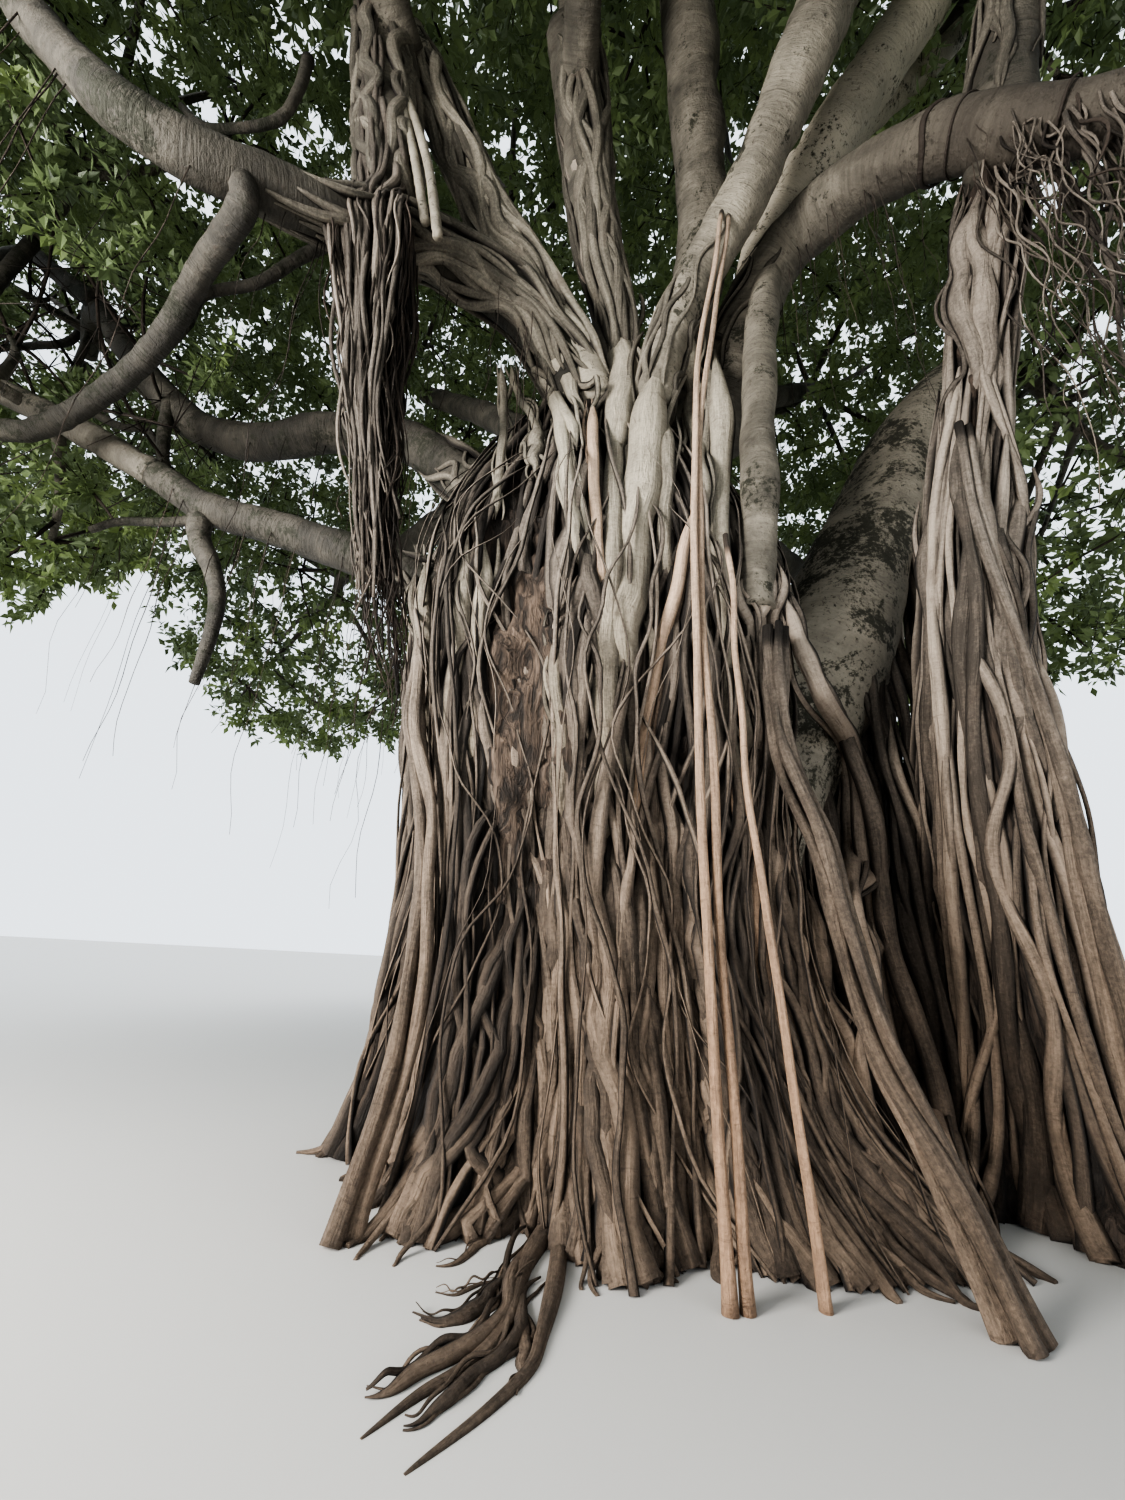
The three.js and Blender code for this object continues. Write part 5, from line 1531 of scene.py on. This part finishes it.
def add_limb(gathered, rng, path, start, stop, sides, tint=0.5, finish=0, collar=0.1, lift=0.05,
             outer_shade=0.0):
    """A tapering limb along a path: lumps on it, wrinkles in rings across it, a collar at its root, and
    painted shade on its outer part."""
    length = np.linalg.norm(np.diff(np.asarray(path, float), axis=0), axis=1).sum()
    steps = max(10, int(length / (0.055 + start * 0.16)))
    middle = curve_through(path, steps)[None]
    share = np.linspace(0, 1, steps)
    along = share * length
    radius = mix(start, stop, share) * (1 + collar * np.exp(-along / (start * 1.4)))
    up = np.array([0.12, 0.1, 1.0])
    plain = swept(middle, up, radius[:, None], radius[:, None], sides)
    lumps = relief(plain, start * 2.2, int(rng.integers(1e6))) * lift
    lumps = lumps + relief(plain, start * 0.7, int(rng.integers(1e6))) * lift * 0.35
    wrinkles = np.abs(ripple(rng, (1, steps), 6, length * 1.2, length * 3.0))[0][:, None] * 0.022
    factors = radius[:, None] * (1 + lumps - wrinkles)
    rings = swept(middle, up, factors, factors, sides)
    shading = outer_shade * smoothstep(share, 0.3, 0.6)[None, :, None]
    gathered.add_tubes(rings, tint, shading, finish, rng.uniform(0, BARK_SHIFT))


def carried_frames(middle):
    """Two directions across a path at each point, carried along it without twisting."""
    along = unit(np.gradient(middle, axis=0))
    side = np.array([1.0, 0.0, 0.0]) if abs(along[0, 0]) < 0.9 else np.array([0.0, 1.0, 0.0])
    sides = []
    for direction in along:
        side = unit(side - direction * (side @ direction))
        sides.append(side)
    sides = np.stack(sides)
    return sides, np.cross(along, sides)


def add_wraps(gathered, rng, name):
    """Strands that lie on a limb and wind slowly along it, thin and sunk at both ends."""
    low, high, count, radii, wind, hollow = WRAPS[name]
    start, stop, path = BOUGHS[name]
    dense = curve_through(path, 160)
    side, across = carried_frames(dense)
    length = np.linalg.norm(np.diff(dense, axis=0), axis=1).sum()
    steps = 40
    sides = 6
    first = low + (high - low) * rng.uniform(0, 0.45, count) ** 1.5
    last = high - (high - low) * rng.uniform(0, 0.5, count) ** 1.5
    share = first[:, None] + (last - first)[:, None] * np.linspace(0, 1, steps)
    middle, side, across = (looked_up(share, rows) for rows in (dense, side, across))
    whole = tapered((last - first) * length, steps, 0.5)
    radius = rng.uniform(*radii, count)[:, None] * mix(0.25, 1.0, whole)
    turns = rng.uniform(0, 2 * math.pi, (count, 1)) + wind * rng.choice([-1, 1], (count, 1)) * share * length
    turns = turns + ripple(rng, share.shape, 4, 0.4, 3.0) * 0.3
    radial = side * np.cos(turns)[..., None] + across * np.sin(turns)[..., None]
    lift = radius * mix(-0.6, 0.35, whole) + ripple(rng, share.shape, 3, 0.5, 3.0) * 0.01
    points = middle + radial * (mix(start, stop, share) + lift)[..., None]
    palest = 0.9 * mix(0.3, 1.0, BOUGH_TONES.get(name, OTHER_BOUGH_TONE))
    add_roots(gathered, rng, points, radial, radius, sides, (0.0, palest), shade_round(sides, hollow), 1,
              (0.1, 0.12), wide=1.1, thick=0.9)


def add_cracks(gathered, name, cracks):
    """Dark rings round a bough where its bark has cracked, placed by the pixel across that they stand at."""
    start, stop, path = BOUGHS[name]
    dense = curve_through(path, 160)
    side, across = carried_frames(dense)
    pixels, _ = seen_at(dense)
    turn = np.linspace(0, 2 * math.pi, 40)[:, None]
    for column, width in cracks:
        k = int(np.argmin(np.abs(pixels[:, 0] - column)))
        radial = side[k] * np.cos(turn) + across[k] * np.sin(turn)
        along = unit(dense[k + 1] - dense[k])
        ring = dense[k] + radial * mix(start, stop, k / 160) * 1.02 + along * np.sin(3 * turn) * width
        gathered.add_tubes(swept(ring[None], radial[None], width, width * 0.6, 6), 0.0, 1.0, 0)


def boughs():
    """The boughs, in a front and a back piece, with the strands that wrap them and with the forks of the
    left boughs that the photo shows."""
    rng = np.random.default_rng(settings().seed + 6)
    front = Surfaces()
    back = Surfaces()
    for name, (start, stop, path) in BOUGHS.items():
        gathered = back if name in BACK_BOUGHS else front
        sides = 18 if name in BACK_BOUGHS else 26
        finish = BOUGH_BARKS.index(BARK_OF_BOUGH.get(name, "limb"))
        tone = BOUGH_TONES.get(name, OTHER_BOUGH_TONE)
        spots = np.array(path)
        inside = FORK_JOINS.get(name, spots[0] + unit(spots[0] - spots[1]) * start * 0.8)
        outer_shade = OUTER_SHADE.get(name, 0.0)
        add_limb(gathered, rng, [inside, *spots], start, stop, sides, tone, finish, outer_shade=outer_shade)
        if name in WRAPS:
            add_wraps(gathered, rng, name)
    for start, stop, depth, pixels in LEFT_LIMBS.values():
        bark, tone = ("limb", STUB_TONE) if depth == STUB_DEPTH else ("shaded", OTHER_BOUGH_TONE)
        add_limb(front, rng, at_depth(pixels, depth), start, stop, 12, tone, BOUGH_BARKS.index(bark))
    for name, cracks in CRACKS.items():
        add_cracks(front, name, cracks)
    shown = [f"bough_{name}" for name in BOUGHS if name not in BACK_BOUGHS]
    materials = [barks()[bark] for bark in BOUGH_BARKS]
    front.build("boughs_front", materials, shown)
    back.build("boughs_back", materials, [f"bough_{name}" for name in BACK_BOUGHS])


# Foliage


def owns(index, points):
    """Whether points lie in a mass's own space: in its ball, and not much nearer to another mass."""
    middles = np.array([mass[1] for mass in MASSES.values()])
    halves = np.array([mass[2] for mass in MASSES.values()])
    depth = np.linalg.norm((points[..., None, :] - middles) / halves, axis=-1)
    own = depth[..., index]
    others = np.delete(depth, index, axis=-1).min(axis=-1)
    return (own < SPACE_EDGE) & (own < others * SPACE_MARGIN)


def reached(index, directions, share):
    """The points at a share of the way from a mass's middle to the edge of its own space."""
    middle = np.array(list(MASSES.values())[index][1])
    steps = np.arange(0, 6, 0.1)
    inside = owns(index, middle + directions[:, None] * steps[:, None])
    edge = np.argmin(inside, axis=1) * 0.1
    return middle + directions * (edge * share)[:, None]


def even_directions(count, seed):
    """Directions spread evenly over a ball, turned by the seed."""
    k = np.arange(count)
    z = 1 - (2 * k + 1) / count
    angle = k * GOLDEN_ANGLE + seed * 1.7
    ring = np.sqrt(1 - z * z)
    return np.stack([np.cos(angle) * ring, np.sin(angle) * ring, z], axis=-1)


def stem_of(name):
    """A mass's stem: a bend from its bough's tip to a hub near its middle."""
    bough, middle, _ = MASSES[name]
    _, stop, path = BOUGHS[bough]
    ends = curve_through(path, 60)
    heading = unit(ends[-1] - ends[-2])
    tip = ends[-1]
    hub = mix(tip, np.array(middle), GROWTH["hub"])
    bend = tip + heading * np.linalg.norm(hub - tip) * 0.4
    share = np.linspace(0, 1, 24)[:, None]
    stem = (1 - share) ** 2 * tip + 2 * share * (1 - share) * bend + share**2 * hub
    return spaced_evenly(stem, 24), min(STEM_RADIUS, stop)


def between(starts, ends, steps, sag, rng):
    """Slightly bent paths from starts to ends, shape (count, steps, 3)."""
    share = np.linspace(0, 1, steps)[None, :, None]
    straight = starts[:, None] + (ends - starts)[:, None] * share
    bow = unit(rng.normal(size=ends.shape)) * np.linalg.norm(ends - starts, axis=1, keepdims=True) * sag
    return straight + bow[:, None] * (4 * share * (1 - share))


def nearest(points, places):
    """For each point the index of the nearest place."""
    return np.argmin(((points[:, None] - places) ** 2).sum(axis=2), axis=1)


def grow_limbs(name, rng, wood):
    """A mass's stem to its hub, and limbs that leave the stem for points spread evenly through its space."""
    index = list(MASSES).index(name)
    stem, radius = stem_of(name)
    add_limb(wood, rng, stem[::6], radius, min(radius, HUB_RADIUS), 10, MASS_WOOD_TONE, collar=0.0)
    forward = unit(stem[-1] - stem[0])
    count = GROWTH["limbs"]
    outward = even_directions(count, index + 1)
    luck = chance(index + 1, np.arange(count)) - 0.5
    ends = reached(index, outward, GROWTH["limb_reach"] + GROWTH["limb_scatter"] * luck)
    leaving = mix(GROWTH["first_limb"], 1, (1 + outward @ forward) / 2) * 0.98
    limbs = between(looked_up(leaving, stem), ends, 12, 0.06, rng)
    radius = np.linspace(*LIMB_RADII, 12)[None, :, None]
    shift = rng.uniform(0, BARK_SHIFT, count)
    wood.add_tubes(swept(limbs, SEAM_SIDE, radius, radius, 7), MASS_WOOD_TONE, 0.0, 0, shift)
    return limbs


def grow_mass(name, rng, wood, twigs):
    """A mass grown from its bough's tip by the frame's rule: a stem, limbs, branchlets from the limbs, and
    twigs from those. Returns each twig's foot, tip and outward direction."""
    index = list(MASSES).index(name)
    seed = index + 1
    limbs = grow_limbs(name, rng, wood)
    outward = even_directions(BRANCHLETS, seed + 0.5)
    share = 0.8 + 0.16 * (chance(seed, np.arange(BRANCHLETS), 3) - 0.5)
    ends = reached(index, outward, share)
    places = limbs[:, 3:].reshape(-1, 3)
    branchlets = between(places[nearest(ends, places)], ends, 5, 0.09, rng)
    radius = np.linspace(*BRANCHLET_RADII, 5)[None, :, None]
    shift = rng.uniform(0, BARK_SHIFT, BRANCHLETS)
    twigs.add_tubes(swept(branchlets, SEAM_SIDE, radius, radius, 3), MASS_WOOD_TONE, 0.0, 0, shift)
    sprays = settings().sprays
    outward = even_directions(sprays, seed + 0.25)
    tips = reached(index, outward, mix(0.4, 0.93, np.sqrt(rng.uniform(0, 1, sprays))))
    tips = np.clip(tips, np.array(CAD_BOX[0]) + 0.1, np.array(CAD_BOX[1]) - 0.1)
    places = branchlets[:, 2:].reshape(-1, 3)
    starts = places[nearest(tips, places)]
    length = np.minimum(np.linalg.norm(tips - starts, axis=1), LONGEST_TWIG)
    feet = tips - unit(tips - starts) * length[:, None]
    radius = np.array([1.0, 0.45])[None, :, None] * TWIG_RADIUS
    twigs.add_tubes(swept(np.stack([feet, tips], axis=1), SEAM_SIDE, radius, radius, 3), 0.2)
    return feet, tips, outward


def clear_of_limbs(feet, tips):
    """Which sprays don't hang before a limb that the photo shows bare."""
    middles = []
    for name, (low, high) in CLEAR_LIMBS.items():
        dense = curve_through(BOUGHS[name][2], 80)
        middles.append(dense[int(low * 80):int(high * 80)])
    for _, _, depth, pixels in LEFT_LIMBS.values():
        middles.append(at_depth(curve_through(pixels, 20), depth))
    spots, depths = seen_at(np.vstack(middles))
    clear = np.ones(len(tips), bool)
    for share in (0.4, 0.7, 1.0):
        pixels, reach = seen_at(mix(feet, tips, share))
        near = np.linalg.norm(pixels[:, None] - spots, axis=2) < CLEAR_PIXELS
        clear &= ~(near & (reach[:, None] < depths)).any(axis=1)
    return clear


def add_leaves(gathered, rng, feet, tips, outward, finish, fineness):
    """Leaves round the outer part of each twig: a leaf is two triangles folded along its rib, its root
    on the twig and its tip bent down. Each next leaf turns by the golden angle."""
    leaves = round(settings().leaves * fineness)
    sprays = len(feet)
    along = unit(tips - feet)[:, None]
    length = np.linalg.norm(tips - feet, axis=1)[:, None, None]
    leafy = np.minimum(length, LEAFY_PART)
    share = (np.arange(leaves) + 0.5)[None, :, None] / leaves
    jitter = rng.uniform(-0.05, 0.05, (sprays, leaves, 3))
    root = tips[:, None] - along * leafy * (1 - share) + jitter
    turn = np.arange(leaves) * GOLDEN_ANGLE + rng.uniform(0, 6, (sprays, 1))
    side = unit(np.cross(along, np.array([0.1, 0.2, 1.0])))
    other = np.cross(along, side)
    radial = side * np.cos(turn)[..., None] + other * np.sin(turn)[..., None]
    direction = along * rng.uniform(0.3, 0.9, (sprays, leaves, 1)) + radial
    direction = unit(direction + np.array([0.0, 0.0, -0.3]) + rng.normal(size=direction.shape) * 0.25)
    facing = np.array([0.0, 0.0, 0.75]) + outward[:, None] * 0.6 + rng.normal(size=direction.shape) * 0.35
    across = unit(np.cross(direction, facing))
    normal = np.cross(across, direction)
    size = settings().leaf_length / math.sqrt(fineness) * rng.uniform(0.75, 1.25, (sprays, leaves, 1))
    fold = normal * size * 0.07
    left = root + direction * size * 0.42 + across * size * 0.26 + fold
    right = root + direction * size * 0.42 - across * size * 0.26 + fold
    tip = root + direction * size - normal * size * 0.08
    start = gathered.total
    gathered.add_points(np.stack([root, right, tip, left], axis=2), 0.5, 0.0)
    corner = start + np.arange(sprays * leaves)[:, None] * 4
    faces = np.concatenate([corner + np.array([0, 1, 2]), corner + np.array([0, 2, 3])])
    dealt = np.tile(np.repeat(finish, leaves), 2)
    gathered.add_faces(faces, np.zeros((len(faces), 3, 2)), dealt)


def foliage():
    """Twigs and leaves of every mass. Greens are dealt out by spray, more light ones at the skirt: partly
    the low leaves' lighter green and partly painted light on them under the crown.
    """
    rng = np.random.default_rng(settings().seed + 7)
    greens = [leaf_colour(f"green_{name}", colour) for name, colour in GREENS.items()]
    wood = Surfaces()
    for group, names in LEAF_GROUPS.items():
        twigs = Surfaces()
        leaves = Surfaces()
        for name in names:
            feet, tips, outward = grow_mass(name, rng, wood, twigs)
            # Painted light in part: sprays low in the crown get lighter greens
            skirt = 1 - smoothstep(tips[:, 2], 6.5, 10)
            luck = rng.uniform(0, 1, len(tips)) * 0.75 + 0.25 * skirt
            finish = np.digitize(luck, (0.22, 0.52, 0.8))
            fineness = NEAR_FINENESS if name in NEAR_MASSES else 1.0
            kept = clear_of_limbs(feet, tips)
            add_leaves(leaves, rng, feet[kept], tips[kept], outward[kept], finish[kept], fineness)
        twigs.build(f"twigs_{group}", [barks()["hanging"]])
        replaced = [f"foliage_{name}" for name in names]
        leaves.build(f"leaves_{group}", greens, replaced, smooth=False)
    wood.build("limbs_in_foliage", [barks()["shaded"]])


# Stage


def add_floor():
    half = settings().floor_size / 2
    mesh = bpy.data.meshes.new("floor")
    corners = [(-half, -half, 0), (half, -half, 0), (half, half, 0), (-half, half, 0)]
    mesh.from_pydata(corners, [], [(0, 1, 2, 3)])
    mesh.materials.append(Shade("floor").finish(rgba(FLOOR_COLOUR), 0.9))
    put("floor", mesh)


def add_world():
    world = bpy.data.worlds.new("studio")
    world.use_nodes = True
    background = world.node_tree.nodes["Background"]
    background.inputs["Color"].default_value = rgba(SKY_COLOUR)
    background.inputs["Strength"].default_value = SKY_STRENGTH
    bpy.context.scene.world = world


def set_view():
    """A view with more contrast, for the deep hollows between pale roots."""
    view = bpy.context.scene.view_settings
    view.view_transform = "AgX"
    view.look = "AgX - High Contrast"


def turn(thing, place, right, up, back):
    """Puts a light or the camera at a place, with its own three axes along the directions given."""
    rows = np.column_stack([right, up, back, place])
    thing.matrix_world = Matrix([*rows.tolist(), [0, 0, 0, 1]])


def add_light(name, kind, place, target, energy):
    """A light at a place, looking at a target."""
    thing = put(name, bpy.data.lights.new(name, kind))
    thing.data.energy = energy
    back = unit(np.array(place) - np.array(target))
    right = unit(np.cross(UP, back))
    turn(thing, place, right, np.cross(back, right), back)
    return thing


def add_lights():
    """The area lights, which the camera doesn't see, and a soft sun."""
    for name, (place, target, size, power) in LIGHTS.items():
        thing = add_light(name, "AREA", place, target, power)
        thing.data.shape = "SQUARE"
        thing.data.size = size
        thing.data.color = LIGHT_COLOUR
        thing.visible_camera = False
    sun = add_light("sun", "SUN", SUN_FROM, SUN_TOWARDS, SUN_STRENGTH)
    sun.data.angle = SUN_ANGLE


def add_camera():
    """The camera where the photo's stood, with its lens."""
    thing = put("camera", bpy.data.cameras.new("camera"))
    thing.data.sensor_width = SENSOR
    thing.data.lens = PHOTO_FOCAL / PHOTO_HEIGHT * SENSOR
    thing.data.clip_start = 0.05
    thing.data.clip_end = 500
    right, up, forward = camera_axes()
    turn(thing, CAMERA_AT, right, up, -forward)
    bpy.context.scene.camera = thing


class MakeStage(bpy.types.Operator):
    """Make the floor, the lights and the camera"""

    bl_idname = "banyan.stage"
    bl_label = "Stage and camera"

    def execute(self, context):
        add_camera()
        add_floor()
        add_world()
        set_view()
        add_lights()
        return {"FINISHED"}


class MakeTrunk(bpy.types.Operator):
    """Make the trunk's core and the roots fused round it"""

    bl_idname = "banyan.trunk"
    bl_label = "Trunk"

    def execute(self, context):
        places = places_of(BARE_PLACES)
        trunk_core(places)
        trunk_roots(places)
        return {"FINISHED"}


class MakeFrontRoots(bpy.types.Operator):
    """Make the roots that the photo shows on the front"""

    bl_idname = "banyan.front_roots"
    bl_label = "Front roots"

    def execute(self, context):
        front_roots()
        return {"FINISHED"}


class MakeColumn(bpy.types.Operator):
    """Make the second column of roots"""

    bl_idname = "banyan.column"
    bl_label = "Root column"

    def execute(self, context):
        root_column()
        return {"FINISHED"}


class MakeFreeRoots(bpy.types.Operator):
    """Make the prop roots and the stem beside the fork"""

    bl_idname = "banyan.free_roots"
    bl_label = "Prop roots"

    def execute(self, context):
        free_roots()
        standing_roots()
        return {"FINISHED"}


class MakeHangingRoots(bpy.types.Operator):
    """Make the curtain and the thin hanging roots"""

    bl_idname = "banyan.hanging_roots"
    bl_label = "Hanging roots"

    def execute(self, context):
        hanging_roots()
        return {"FINISHED"}


class MakeGroundRoots(bpy.types.Operator):
    """Make the roots along the ground"""

    bl_idname = "banyan.ground_roots"
    bl_label = "Ground roots"

    def execute(self, context):
        ground_roots()
        return {"FINISHED"}


class MakeBoughs(bpy.types.Operator):
    """Make the boughs"""

    bl_idname = "banyan.boughs"
    bl_label = "Boughs"

    def execute(self, context):
        boughs()
        return {"FINISHED"}


class MakeFoliage(bpy.types.Operator):
    """Make the limbs, twigs and leaves of every mass of foliage"""

    bl_idname = "banyan.foliage"
    bl_label = "Foliage"

    def execute(self, context):
        foliage()
        return {"FINISHED"}


OPERATORS = (MakeStage, MakeTrunk, MakeFrontRoots, MakeColumn, MakeFreeRoots, MakeHangingRoots,
             MakeGroundRoots, MakeBoughs, MakeFoliage)


class BanyanPanel(bpy.types.Panel):
    """Lists the banyan's pieces and settings"""

    bl_idname = "VIEW3D_PT_banyan"
    bl_label = "Banyan tree"
    bl_space_type = "VIEW_3D"
    bl_region_type = "UI"
    bl_category = "Banyan"

    def draw(self, context):
        for operator in OPERATORS:
            self.layout.operator(operator.bl_idname)
        for name in BanyanSettings.__annotations__:
            self.layout.prop(context.scene.banyan, name)


def register():
    for kind in (BanyanSettings, *OPERATORS, BanyanPanel):
        bpy.utils.register_class(kind)
    bpy.types.Scene.banyan = PointerProperty(type=BanyanSettings)


def unregister():
    del bpy.types.Scene.banyan
    for kind in (BanyanPanel, *reversed(OPERATORS), BanyanSettings):
        bpy.utils.unregister_class(kind)


def main():
    register()
    for operator in OPERATORS:
        family, name = operator.bl_idname.split(".")
        getattr(getattr(bpy.ops, family), name)()


if __name__ == "__main__":
    main()
